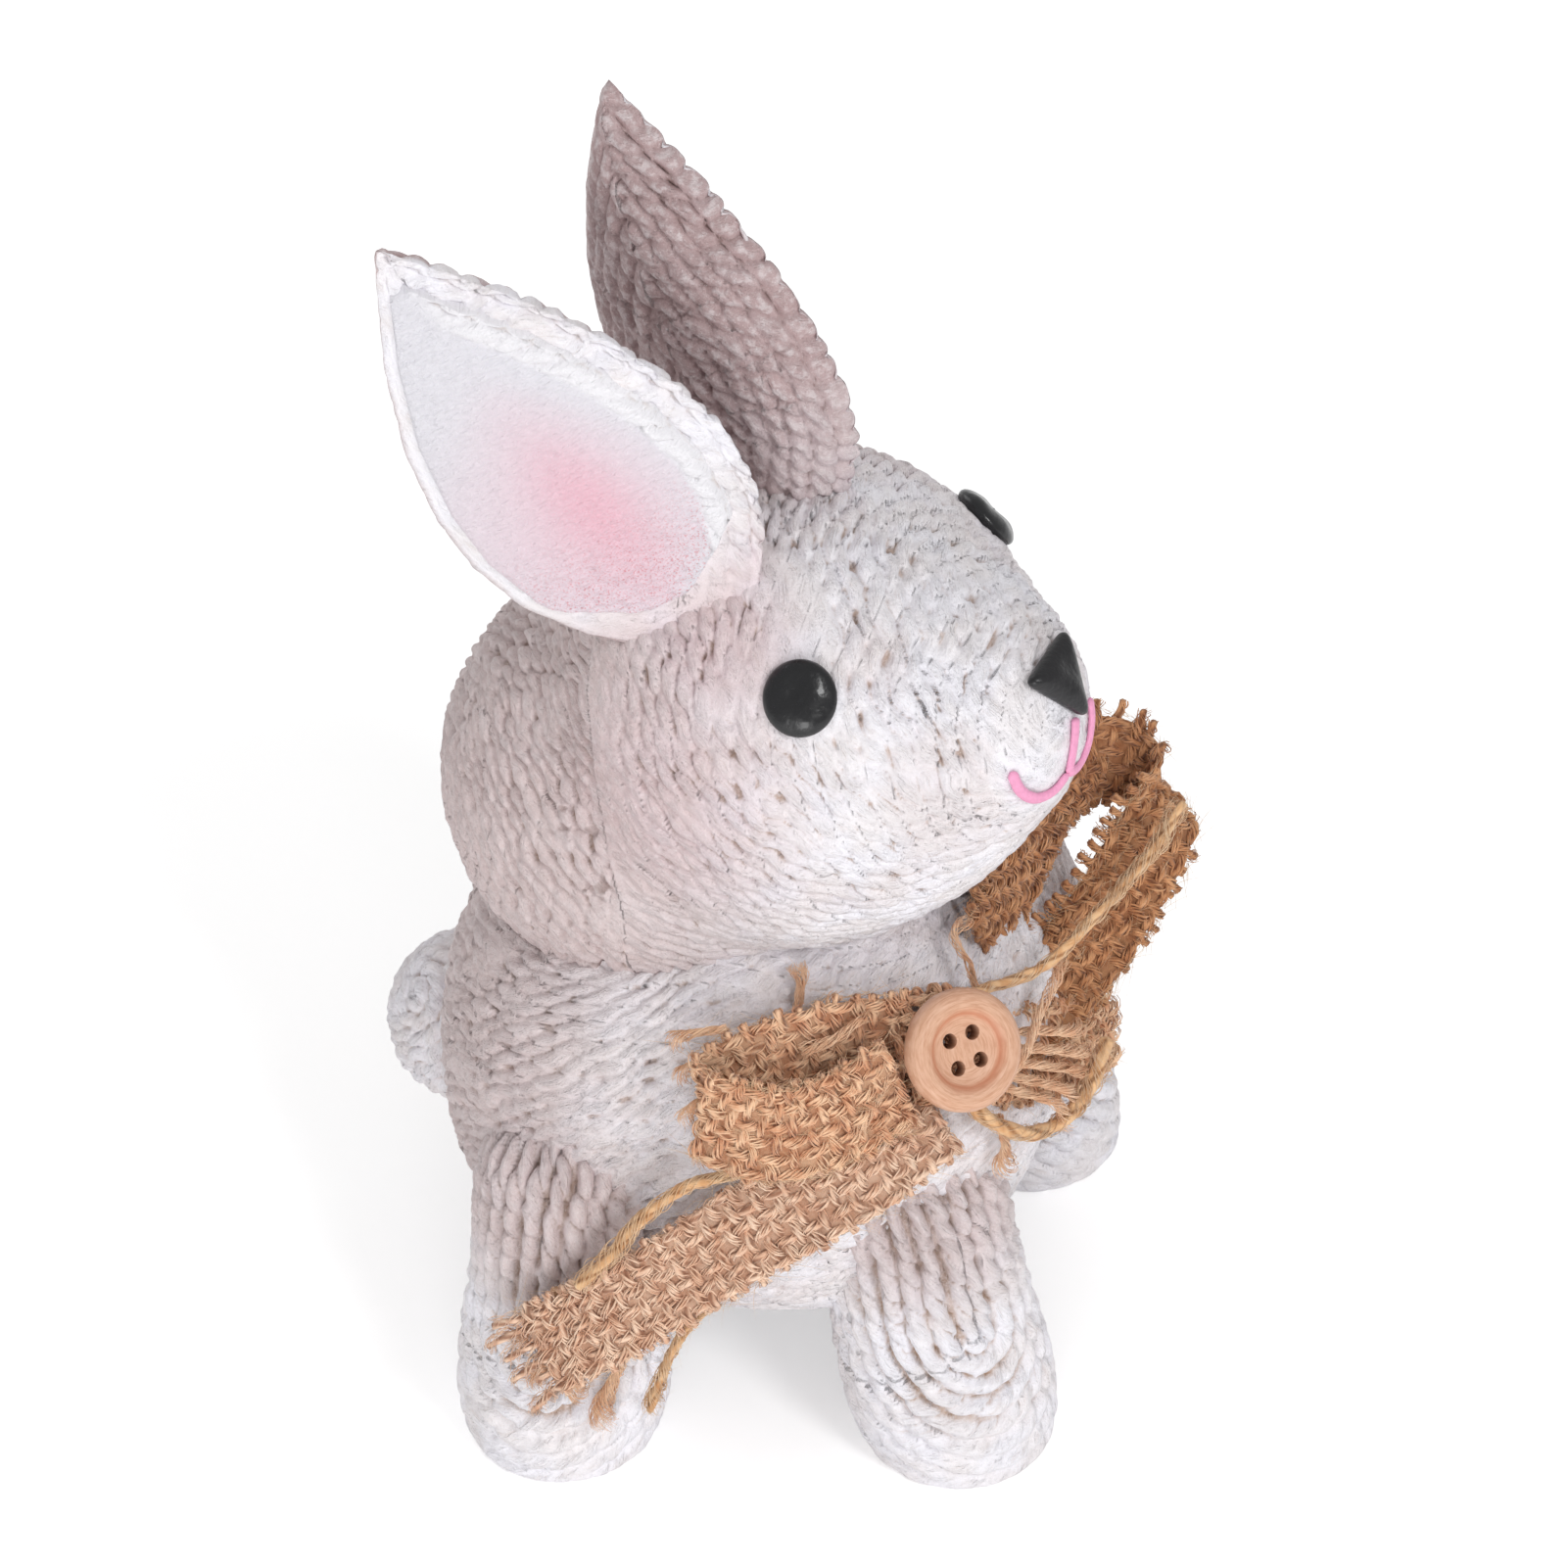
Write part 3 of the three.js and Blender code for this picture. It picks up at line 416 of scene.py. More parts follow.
def relief(across, lobe, points, groove, bump, twist, seed, gap=0.0, row=0, leaf=0.34, wear=1.0):
    """Depth below the skin of a twisted cord surface, and what its paint needs."""

    def lumps(size, number):
        return noise(points, size, seed + number)

    drift = lumps(3.4, 0) * 0.36 + lumps(1.4, 1) * 0.12
    across = np.clip(across + lumps(2.6, 5) * 0.08, -0.5, 0.5)
    # Where the rows part, a strip of floor shows between them
    inner = across / (1 - gap * smoothstep(-0.45, 0.45, lumps(5.5, 7)))
    phase = lobe + twist / (2 * math.pi) * np.arcsin(np.clip(inner * 1.94, -1, 1)) + drift
    number = np.floor(phase)
    fold = phase - number - 0.5
    # Each strand is leaf shaped: it swells over the groove at its middle and leaves a hole at its ends
    swell = 1 + leaf * np.cos(2 * math.pi * fold)
    ridge, strand = crown(np.clip(inner / swell, -0.5, 0.5)), crown(fold)
    high = hashed(np.asarray(row, np.int64) + 50, number.astype(np.int64) + 5000, 0, seed)
    loose = 0.6 + 0.5 * smoothstep(-0.6, 0.3, lumps(5.0, 2))
    gape = 1 - wear * (0.55 - 0.75 * smoothstep(-0.2, 0.6, lumps(2.2, 6)))
    pressed = 1 - 0.6 * wear * smoothstep(0.15, 0.55, lumps(6.0, 8))
    cut = groove * gape * (1 - ridge) + bump * loose * (1 - strand) * (0.4 + 0.6 * ridge)
    depth = cut * pressed + 0.26 * high
    depth = depth + 0.12 * lumps(0.8, 3) + 0.15 * (lumps(3.5, 4) + 1)
    # Deep marks the grooves and the strands' edges, where the paint lays brown wash and painted shade
    edge = np.maximum((1 - ridge) ** 1.4 * gape, (1 - strand) ** 1.5 * loose)
    worn = 1 - 0.45 * wear * smoothstep(0.35, -0.35, lumps(1.7, 10))
    deep = np.clip(edge + 0.3 * (1 - ridge) * (1 - strand), 0, 1) * (0.5 + 0.5 * pressed) * worn
    # Holes where strand ends part are cut deeper, and their dark paint is painted shade
    hole = smoothstep(0.5, 0.75, (1 - ridge) * (0.45 + 0.55 * (1 - strand))) * pressed
    hole = hole * smoothstep(0.05, 0.3, lumps(2.4, 9))
    place = np.stack([number % 61 + fold, across * 0.8, (number + 7 * row) % 97 * 1.3], 1)
    # The fibre pattern dies out at each strand's edges, where the next strand's pattern starts
    inside = smoothstep(0.43, 0.3, np.abs(across)) * smoothstep(0.45, 0.34, np.abs(fold))
    fields = dict(strand=place, inside=inside, deep=deep, tone=high, hole=hole)
    return np.maximum(depth, 0) + 0.4 * hole, fields


def wound_piece(
    node, points, faces, fields, holes, tint, groove_wash_and_shade, dry_brush_and_highlight, blush=0.0, ends=None, paint="wound_resin"
):
    """A wound form as a piece, its even fields spread over all points and carried to two end points."""
    # Groove wash and shade sets how strongly the grooves take brown wash and painted shade
    # The dry-brush amount sets the dry-brushed paint and painted highlight on the crests
    even = dict(tint=tint, blush=blush, pinhole=fields.pop("hole") * holes, groove_wash_and_shade=groove_wash_and_shade, dry_brush_and_highlight=dry_brush_and_highlight)
    fields.update({key: np.broadcast_to(value, len(points)) for key, value in even.items()})
    if ends is not None:
        points = np.concatenate([points, ends])
        fields = {key: np.concatenate([values, values[[0, -1]]]) for key, values in fields.items()}
    mesh_object(node + "_winding", points, faces, fields, WOUND_PAINTS[paint], paint, node)


# Paint
def srgb(r, g, b):
    values = [c / 255 for c in (r, g, b)]
    return tuple([v / 12.92 if v <= 0.04045 else ((v + 0.055) / 1.055) ** 2.4 for v in values] + [1.0])


class Nodes:
    """Short ways to write a material's nodes."""

    def __init__(self, name):
        self.material = bpy.data.materials.new(name)
        self.material.use_nodes = True
        self.tree = self.material.node_tree
        self.shader = self.tree.nodes["Principled BSDF"]

    def add(self, kind, **settings):
        node = self.tree.nodes.new(kind)
        for key, value in settings.items():
            setattr(node, key, value)
        return node

    def put(self, socket, value):
        if isinstance(value, bpy.types.NodeSocket):
            self.tree.links.new(value, socket)
        else:
            socket.default_value = value

    def fill(self, node, values, output=0):
        """Gives a node's first or named sockets their values and returns its output."""
        for key, value in values.items() if isinstance(values, dict) else enumerate(values):
            self.put(node.inputs[key], value)
        return node.outputs[output]

    def field(self, name, output="Fac"):
        return self.add("ShaderNodeAttribute", attribute_name=name).outputs[output]

    def math(self, operation, *values, clamp=False):
        return self.fill(self.add("ShaderNodeMath", operation=operation, use_clamp=clamp), values)

    def times(self, a, b):
        return self.math("MULTIPLY", a, b)

    def swing(self, value, reach):
        """How far a value is from a half, times a reach."""
        return self.times(self.math("SUBTRACT", value, 0.5), reach)

    def faded(self, value, share):
        """A value that turns to a half where a share is 0."""
        return self.math("MULTIPLY_ADD", self.math("SUBTRACT", value, 0.5), share, 0.5)

    def mix(self, factor, a, b):
        return self.fill(self.add("ShaderNodeMix", data_type="RGBA"), {0: factor, 6: a, 7: b}, 2)

    def coats(self, colour, *layers):
        """A colour under further ones, each with its share."""
        for share, shade in layers:
            colour = self.mix(share, colour, shade)
        return colour

    def spread(self, value, low, high, to_low=0.0, to_high=1.0):
        node = self.add("ShaderNodeMapRange", interpolation_type="SMOOTHSTEP")
        return self.fill(node, (value, low, high, to_low, to_high))

    def place(self):
        """Object coordinates in millimetres."""
        coordinates = self.add("ShaderNodeTexCoord").outputs["Object"]
        return self.fill(self.add("ShaderNodeMapping"), {"Vector": coordinates, "Scale": [1 / MM] * 3})

    def scaled(self, vector, factors):
        return self.fill(self.add("ShaderNodeVectorMath", operation="MULTIPLY"), (vector, factors))

    def noise(self, vector, scale, detail=2.0, rough=0.5):
        values = {"Vector": vector, "Scale": scale, "Detail": detail, "Roughness": rough}
        return self.fill(self.add("ShaderNodeTexNoise"), values, "Fac")

    def bumps(self, *heights):
        """Bumps one over the other, each a height, its distance in millimetres and its strength."""
        normal = None
        for height, distance, strength in heights:
            values = {"Strength": strength, "Distance": distance * MM, "Height": height}
            if normal:
                values["Normal"] = normal
            normal = self.fill(self.add("ShaderNodeBump"), values)
        return normal

    def finish(self, colour, rough, normal=None, specular=0.5, **sockets):
        values = {"Base Color": colour, "Roughness": rough, "Specular IOR Level": specular}
        if normal:
            values["Normal"] = normal
        values.update({key.replace("_", " "): value for key, value in sockets.items()})
        self.fill(self.shader, values)
        return self.material


WHITES = srgb(243, 241, 247), srgb(240, 235, 237)
# Crevice colours: brown wash and painted shade in the grooves between cords and strands
WARM_CREVICE, CREVICE, EAR_CREVICE = srgb(174, 142, 118), srgb(160, 136, 124), srgb(130, 102, 96)
TAUPE, EAR_TAUPE, DRY_BRUSH_AND_HIGHLIGHT = srgb(211, 193, 192), srgb(180, 156, 156), srgb(222, 211, 212)
BLUSH, PAINTED_GLINT, PINHOLE = srgb(206, 156, 158), srgb(250, 247, 248), srgb(112, 78, 66)


def wound_paint(name, crevice, taupe, fibre):
    n = Nodes(name)
    place = n.place()
    strand, inside = n.field("strand", "Vector"), n.field("inside")
    deep, tinted = n.field("deep"), n.field("tint")
    threads = n.faded(n.noise(n.scaled(strand, (6.5, 1.6, 1.0)), 1.0, 3.0, 0.62), inside)
    fine = n.faded(n.noise(n.scaled(strand, (16.0, 3.5, 1.0)), 1.0, 2.0, 0.6), inside)
    grain = n.noise(place, 2.6, 3.0, 0.62)
    speck = n.noise(place, 6.5)
    crevice = n.mix(n.spread(tinted, 0.0, 0.7), WARM_CREVICE, crevice)
    white = n.mix(n.spread(n.noise(place, 0.16), 0.35, 0.65), *WHITES)
    tint = n.math("ADD", tinted, n.swing(grain, 0.3), clamp=True)
    tint = n.math("ADD", tint, n.swing(n.field("tone"), 0.14), clamp=True)
    # Dry-brushed paint and a painted highlight lighten the crests on the taupe parts
    dry_brush_and_highlight = n.times(n.spread(deep, 0.3, 0.03), n.spread(n.noise(place, 0.9, 4.0, 0.6), 0.42, 0.64))
    # Groove wash and shade: brown wash and painted shade, strongest deep in the grooves
    groove_wash_and_shade = n.times(n.spread(deep, 0.3, 1.0), n.spread(grain, 0.2, 0.6, 0.5, 1.0))
    colour = n.coats(
        white,
        (n.times(tint, n.spread(tinted, 0.0, 0.12)), taupe),
        (n.field("blush"), BLUSH),
        (n.times(dry_brush_and_highlight, n.times(n.spread(tinted, 0.1, 0.7), n.field("dry_brush_and_highlight"))), DRY_BRUSH_AND_HIGHLIGHT),
        # The thread pattern's low parts darken to the crevice colour, painted shade that deepens in the
        # grooves
        (n.times(n.spread(threads, 0.48, 0.28), n.spread(deep, 0.0, 0.4, 0.14, 0.4)), crevice),
        (n.spread(fine, 0.4, 0.25, 0.0, 0.2), crevice),
        (n.times(groove_wash_and_shade, n.field("groove_wash_and_shade")), crevice),
        # White specks are painted glints
        (n.spread(speck, 0.62, 0.72, 0.0, 0.45), PAINTED_GLINT),
        (n.spread(speck, 0.4, 0.3, 0.0, 0.18), crevice),
        # Pinholes take a dark brown, painted shade in the holes over the brown wash
        (n.field("pinhole"), PINHOLE),
    )
    normal = n.bumps((threads, fibre, 1.0), (fine, 0.16, 1.0), (grain, 0.2, 0.8), (speck, 0.12, 0.6))
    return n.finish(colour, n.spread(grain, 0.3, 0.7, 0.38, 0.6), normal)


WOUND_PAINTS = {
    "wound_resin": wound_paint("wound_resin", CREVICE, TAUPE, 0.304),
    "ear_resin": wound_paint("ear_resin", EAR_CREVICE, EAR_TAUPE, 0.171),
}


# Camera
CAMERA_AZIMUTH, CAMERA_ELEVATION, CAMERA_DISTANCE = -78.0, 42.0, 620.0
CAMERA_TARGET = np.array([16.5, 0.0, 66.0])
CAMERA_SCALE, PHOTO_SIDE, SENSOR = 8.0, 1601, 36.0


def aimed(thing, place, target):
    thing.location = Vector((place + SHIFT) * MM)
    thing.rotation_euler = Vector(place - target).to_track_quat("Z", "Y").to_euler()


def place_camera():
    a, e = math.radians(CAMERA_AZIMUTH), math.radians(CAMERA_ELEVATION)
    look_back = np.array([math.sin(a) * math.cos(e), -math.cos(a) * math.cos(e), math.sin(e)])
    camera = linked("camera", bpy.data.cameras.new("camera"))
    camera.data.sensor_width = SENSOR
    camera.data.lens = SENSOR * CAMERA_SCALE * CAMERA_DISTANCE / PHOTO_SIDE
    camera.data.clip_start = 0.05
    camera.data.clip_end = 20
    aimed(camera, CAMERA_TARGET + look_back * CAMERA_DISTANCE, CAMERA_TARGET)
    bpy.context.scene.camera = camera


place_camera()


# Free cords and loose yarns
def smooth_path(points, step):
    """A centripetal curve through the points, as even points about step apart."""
    points = np.asarray(points, float)
    padded = np.concatenate([[2 * points[0] - points[1]], points, [2 * points[-1] - points[-2]]])
    dense = []
    for i in range(len(points) - 1):
        p = padded[i:i + 4]
        knots = np.concatenate([[0], np.cumsum(np.linalg.norm(np.diff(p, axis=0), axis=1) ** 0.5)])
        t = np.linspace(knots[1], knots[2], 40, endpoint=i == len(points) - 2)[:, None]

        def blend(a, b, ka, kb):
            return (kb - t) / (kb - ka) * a + (t - ka) / (kb - ka) * b

        a = [blend(p[k], p[k + 1], knots[k], knots[k + 1]) for k in range(3)]
        b = [blend(a[k], a[k + 1], knots[k], knots[k + 2]) for k in range(2)]
        dense.append(blend(b[0], b[1], knots[1], knots[2]))
    dense = np.concatenate(dense)
    length = arc_length(dense)
    even = np.linspace(0, length[-1], max(int(round(length[-1] / step)), 2) + 1)
    return np.stack([np.interp(even, length, dense[:, k]) for k in range(3)], 1)


def carried_frames(path):
    """Tangents and two steady side directions along a path."""
    tangent = unit(np.gradient(path, axis=0))
    side = np.zeros_like(path)
    current = square_to(tangent[0], UPRIGHT if abs(tangent[0, 2]) < 0.8 else (1.0, 0.0, 0.0))
    for i, along in enumerate(tangent):
        current = square_to(along, current)
        side[i] = current
    return tangent, side, np.cross(tangent, side)


def yarn_mesh(path, radius, twist, around, seed):
    """Points, faces and fields of a yarn of two twisted plies along an even path."""
    tangent, side, up = carried_frames(path)
    s, a = np.meshgrid(arc_length(path), full_turn(around), indexing="ij")
    phase = a * 2 - s / twist * 2 * math.pi
    lobe = np.abs(np.cos(phase / 2))
    shape = radius * (0.72 + 0.28 * lobe + noise(path, 2.6, seed)[:, None] * 0.1)
    across, rise = (np.cos(a) * shape)[..., None], (np.sin(a) * shape)[..., None]
    points = path[:, None] + side[:, None] * across + up[:, None] * rise
    ends = np.stack([path[0] - tangent[0] * radius * 0.4, path[-1] + tangent[-1] * radius * 0.4])
    strand = np.stack([phase.ravel() / (2 * math.pi), s.ravel() / twist, np.full(s.size, seed * 1.7)], 1)
    strand = np.concatenate([strand, strand[[0, -1]]])
    # Between the plies the yarn is marked deep, for painted shade
    deep = np.concatenate([(1 - lobe).ravel(), [0.4, 0.4]])
    points = np.concatenate([points.reshape(-1, 3), ends])
    return points, ring_grid(len(path), around), dict(strand=strand, deep=deep)


def join_parts(parts):
    """One mesh's points, faces and fields from several."""
    points, quads, triangles, fields, base = [], [], [], {}, 0
    for part_points, faces, part_fields in parts:
        points.append(part_points)
        for group in faces:
            (quads if group.shape[1] == 4 else triangles).append(group + base)
        for key, values in part_fields.items():
            fields.setdefault(key, []).append(values)
        base += len(part_points)
    faces = [np.concatenate(group) for group in (quads, triangles)]
    return np.concatenate(points), faces, {key: np.concatenate(values) for key, values in fields.items()}


def fuzz(path, count, reach, seed, spread=0.9, thick=0.034):
    """Stray fibres that leave a yarn's surface and bend away, as thin tapered tubes."""
    draw = np.random.default_rng(seed)
    tangent, side, up = carried_frames(path)
    angles = np.array([0, 2.094, 4.189])
    t = np.linspace(0, 1, 6)[:, None]
    width = thick * (1 - 0.8 * t)
    across, rise = (np.cos(angles) * width)[..., None], (np.sin(angles) * width)[..., None]
    faces = ring_grid(6, 3)
    parts = []
    for _ in range(count):
        i, angle = draw.integers(0, len(path)), draw.uniform(0, 2 * math.pi)
        out = side[i] * math.cos(angle) + up[i] * math.sin(angle)
        lean = unit(tangent[i] * draw.choice([-1, 1]) + out * draw.uniform(0.3, 1.0) * spread)
        bend = unit(draw.normal(size=3))
        long = reach * draw.uniform(0.4, 1.0)
        line = path[i] + lean * long * t + bend * long * 0.35 * t**2
        ring_side, ring_up = carried_frames(line)[1:]
        points = line[:, None] + (ring_side[:, None] * across + ring_up[:, None] * rise)
        points = np.concatenate([points.reshape(-1, 3), line[[0, -1]]])
        strand = np.full((len(points), 3), draw.uniform(0, 9.0))
        parts.append((points, faces, dict(strand=strand, deep=np.zeros(len(points)))))
    return join_parts(parts)


def fibre_bundle(path, radius, twist, count, thick, seed, flare=0.0):
    """Points, faces and fields of a yarn's many fine fibres, which may splay at its far end."""
    draw = np.random.default_rng(seed)
    side, up = carried_frames(path)[1:]
    length = arc_length(path)
    share = length / length[-1]
    sway = np.sin(length / draw.uniform(0.9, 2.4, (count, 1)) + draw.uniform(0, 6.3, (count, 1)))
    angle = draw.uniform(0, 2 * math.pi, (count, 1)) - 2 * math.pi * length / twist + 0.5 * sway
    reach = radius * draw.uniform(0.5, 1.0, (count, 1)) * (1 + 0.22 * np.roll(sway, 1, axis=0))
    reach = reach + flare * draw.uniform(0.2, 1.0, (count, 1)) * smoothstep(0.3, 1.0, share) ** 2
    line = path + side * (np.cos(angle) * reach)[..., None] + up * (np.sin(angle) * reach)[..., None]
    width = thick * draw.uniform(0.7, 1.3, (count, 1)) * (1 - 0.6 * smoothstep(0.85, 1.0, share))
    corners = np.radians([0, 120, 240])[:, None]
    ring = side[:, None] * np.cos(corners) + up[:, None] * np.sin(corners)
    points = line[:, :, None] + ring * width[:, :, None, None]
    last = len(path) * 3
    caps = np.array([[2, 1, 0], [last - 3, last - 2, last - 1]])
    starts = (np.arange(count) * last)[:, None, None]
    faces = [(ring_grid(len(path), 3)[0] + starts).reshape(-1, 4), (caps + starts).reshape(-1, 3)]
    shade = draw.uniform(0, 40, (count, 1)) + 0 * length
    strand = np.stack([shade, np.broadcast_to(length * 0.4, shade.shape), 0.3 * shade], -1)
    # Fibres nearer the yarn's middle are marked deep, for painted shade
    deep = 0.5 * (1 - np.clip(reach / radius, 0, 1))
    fields = dict(strand=np.repeat(strand.reshape(-1, 3), 3, axis=0), deep=np.repeat(deep.ravel(), 3))
    return points.reshape(-1, 3), faces, fields


def yarn_paint(name, light, middle, dark):
    n = Nodes(name)
    place = n.place()
    threads = n.noise(n.scaled(n.field("strand", "Vector"), (4.0, 2.0, 1.0)), 1.0, 3.0, 0.65)
    # The deep parts inside each yarn take the dark colour as painted shade, along with the dark threads' own
    # colour
    depth = n.spread(n.field("deep"), 0.35, 1.0, 0.0, 0.85)
    colour = n.coats(
        middle,
        (n.spread(n.noise(place, 0.5), 0.35, 0.65), light),
        (n.spread(threads, 0.45, 0.75, 0.0, 0.7), light),
        (n.math("MAXIMUM", depth, n.spread(threads, 0.42, 0.22, 0.0, 0.6)), dark),
    )
    normal = n.bumps((threads, 0.18, 1.0), (n.noise(place, 5.0, 3.0, 0.7), 0.06, 0.35))
    return n.finish(colour, 0.85, normal, 0.2, Sheen_Weight=0.25, Sheen_Roughness=0.5)


YARN = yarn_paint("burlap_yarn", srgb(248, 216, 190), srgb(224, 178, 148), srgb(144, 96, 72))
TUFT = yarn_paint("burlap_tuft", srgb(246, 208, 174), srgb(228, 176, 138), srgb(160, 108, 78))
# Darker, redder copies of the burlap paint, painted shade for the strips and the knot that lie in shadow
YARN_IN_SHADE = yarn_paint("burlap_yarn_in_shade", srgb(246, 206, 170), srgb(220, 162, 124), srgb(132, 80, 54))
YARN_IN_DEEP_SHADE = yarn_paint("burlap_yarn_in_deep_shade", srgb(214, 160, 116), srgb(180, 122, 82), srgb(112, 66, 42))
TWINE = yarn_paint("jute_twine", srgb(232, 192, 148), srgb(212, 160, 112), srgb(140, 90, 54))
HAIR = yarn_paint("burlap_hair", srgb(230, 198, 162), srgb(214, 174, 134), srgb(176, 132, 94))


def jute_strand(node, route, diameter, seed):
    path = smooth_path(route, 0.35)
    yarn = yarn_mesh(path, diameter / 2 * 0.95, 5.5, 12, seed)
    piece = mesh_object(node + "_yarn", *yarn, TWINE, "jute", node)
    loose = [fibre_bundle(path, diameter / 2, 8.0, 26, 0.07, seed + 30, 0.9)]
    loose.append(fuzz(path, 90, 4.0, seed + 50, 0.7, 0.035))
    hairs = mesh_object(node + "_yarn_fibres", *join_parts(loose), HAIR, "jute")


jute_strand("jute_strand_long", STRAND_LONG, 1.5, 11)
jute_strand("jute_strand_upper", STRAND_UPPER, 1.5, 12)
jute_strand("jute_strand_arc", STRAND_ARC, 2.0, 13)
jute_strand("jute_strand_loose", STRAND_LOOSE, 1.3, 14)


# Head
HEAD_FRONT_AXIS = (-0.29, -0.85, 0.44)
HEAD_BACK_AXIS = unit((0.05, 0.98, -0.18))
BREAK_TURN = math.radians(71.5)
HEAD_WINDINGS = [
    (HEAD_FRONT_AXIS, -HEAD_BACK_AXIS, math.pi - BREAK_TURN, 20),
    (HEAD_BACK_AXIS, HEAD_BACK_AXIS, math.pi, 30),
]


def wound_head():
    direction, quads = sphere_grid(180)
    skin = HEAD_MIDDLE + direction * head_reach(direction)[:, None]
    x, y, z = skin.T
    warp = noise(skin, 14.0, 3) * 1.2 + noise(skin, 6.0, 4) * 0.5
    # The winding stands out most on the crown and the rear, least on the cheeks
    bold = 0.4 * np.maximum(smoothstep(104, 120, z), smoothstep(6, 26, y))
    sides = []
    for first, last, sweep, seed in HEAD_WINDINGS:
        across, lobe, turn = PoleRows(head_reach, first, last, sweep).rows(direction, warp)
        sides.append(relief(across, lobe, skin, 0.95 + bold, 1.1 + bold, ROW_TWIST, seed))
    (depth, fields), (depth_back, fields_back) = sides
    rear = turn + noise(skin, 9.0, 5) * 0.03 < BREAK_TURN
    depth = np.where(rear, depth_back, depth)
    for key in fields:
        fields[key] = np.where(rear[:, None] if key == "strand" else rear, fields_back[key], fields[key])
    # The break between the two windings, and the holes just behind it
    gap = np.abs(turn - BREAK_TURN) * np.linalg.norm(skin - HEAD_MIDDLE, axis=1)
    seam = smoothstep(2.2, 0.2, gap + noise(skin, 2.4, 8) * 0.9)
    holes = rear * smoothstep(11, 2, gap) * smoothstep(0.3, 0.55, noise(skin, 1.1, 6))
    holes = holes * smoothstep(0.0, 0.3, noise(skin, 4.0, 7))
    depth = depth * (1 - seam * 0.6) + seam * 0.35 + holes * 0.5
    # Smooth places: the muzzle, round the eyes, before the break and the filler at the near ear's foot
    muzzle = near(skin, (-15.0, -37.6, 107.0), 10.5, 6.0, (1, 1, 0.85))
    from_ear = np.linalg.norm((skin - [-15.5, 1.0, 118.5]) * [1, 0.75, 1], axis=1)
    filler = smoothstep(3.6, 1.6, np.abs(from_ear - 8.5)) * smoothstep(4, -3, y)
    band = (1 - rear) * smoothstep(8.0, 4.0, gap + noise(skin, 5.0, 12) * 2.5) * smoothstep(74, 86, z)
    round_eyes = [near(skin, eye, 6.4, 4.6) * 0.8 for eye in EYES.values()]
    smooth = np.maximum.reduce([muzzle * 0.88, filler * 0.85, band * 0.6] + round_eyes)
    depth = depth * (1 - smooth) + 0.2 * smooth + noise(skin, 2.2, 9) * 0.12 * smooth
    fields["deep"] = np.clip(fields["deep"] * (1 - seam * 0.5) * 1.35, 0, 1) * (1 - smooth)
    fields["hole"] = np.clip(np.maximum(holes, fields["hole"] * (1 - smooth)), 0, 1)
    # Taupe airbrush on the back and the crown, taupe over the far cheek and in patches over the face, and a
    # trace of painted shade under the chin
    back_tint = smoothstep(-18, 20, y + (95 - z) * 0.12 + noise(skin, 10, 10) * 4)
    top_tint = smoothstep(-36, -8, y) * smoothstep(110, 122, z) * 0.05
    far_tint = smoothstep(4, 22, x) * smoothstep(-30, -4, y) * 0.9
    # A trace of painted shade under the chin
    under = smoothstep(84, 66, z) * 0.02
    face_tint = 0.22 * (1 - muzzle) * smoothstep(-0.3, 0.5, noise(skin, 9.0, 13))
    tint = np.clip(np.maximum.reduce([back_tint, top_tint, far_tint, under, face_tint]), 0, 1)
    blush = 0.3 * np.maximum(near(skin, (-25, 3, 101), 22, 4), near(skin, (-19, -1, 118), 13, 3))
    points = skin - surface_normals(skin, quads) * depth[:, None]
    wound_piece("head", points, [quads], fields, 0.9, tint, 0.75 + 0.25 * tint, 0.35, blush)


# Torso
def wound_torso():
    direction, quads = sphere_grid(170)
    skin = TORSO_MIDDLE + direction * torso_reach(direction)[:, None]
    x, y, z = skin.T
    warp = noise(skin, 16.0, 43) * 1.5 + noise(skin, 6.0, 44) * 0.5
    rows = PoleRows(torso_reach, (0, 0, -1), (0, 0, -1), math.pi)
    across, lobe, _ = rows.rows(direction, warp)
    depth, fields = relief(across, lobe, skin, 0.95, 1.15, ROW_TWIST, 50)
    points = skin - surface_normals(skin, quads) * depth[:, None]
    # The neck cup follows the head's own skin from just inside it
    offset = points - HEAD_MIDDLE
    distance = np.linalg.norm(offset, axis=1)
    outward = offset / distance[:, None]
    room = head_reach(outward) - 1.6
    points = np.where((distance < room)[:, None], HEAD_MIDDLE + outward * room[:, None], points)
    tint = np.maximum.reduce([
        smoothstep(-10, 36, y + noise(skin, 10, 45) * 4),
        smoothstep(-6, 14, x) * smoothstep(-10, -34, y) * 0.6,
        smoothstep(16, 34, x) * 0.6, 0.2 * smoothstep(-0.4, 0.4, noise(skin, 9.0, 48)),
    ]) * smoothstep(10, 30, z)
    fields["deep"] = np.clip(fields["deep"] * 1.3, 0, 1)
    wound_piece("torso", points, [quads], fields, 0.8, tint, 0.6 + 0.3 * tint, 0.4)


# Legs, each with the place where its cords turn round the paw
LEGS = {
    "leg_front_right": (FRONT_SOLE, FRONT_TOP, -1, (-33.8, -36.0), 24.0),
    "leg_front_left": (FRONT_SOLE, FRONT_TOP, 1, (36.0, -38.0), 24.0),
    "leg_hind_right": (HIND_SOLE, HIND_TOP, -1, (-47.5, 19.0), 21.0),
    "leg_hind_left": (HIND_SOLE, HIND_TOP, 1, (47.5, 19.0), 21.0),
}


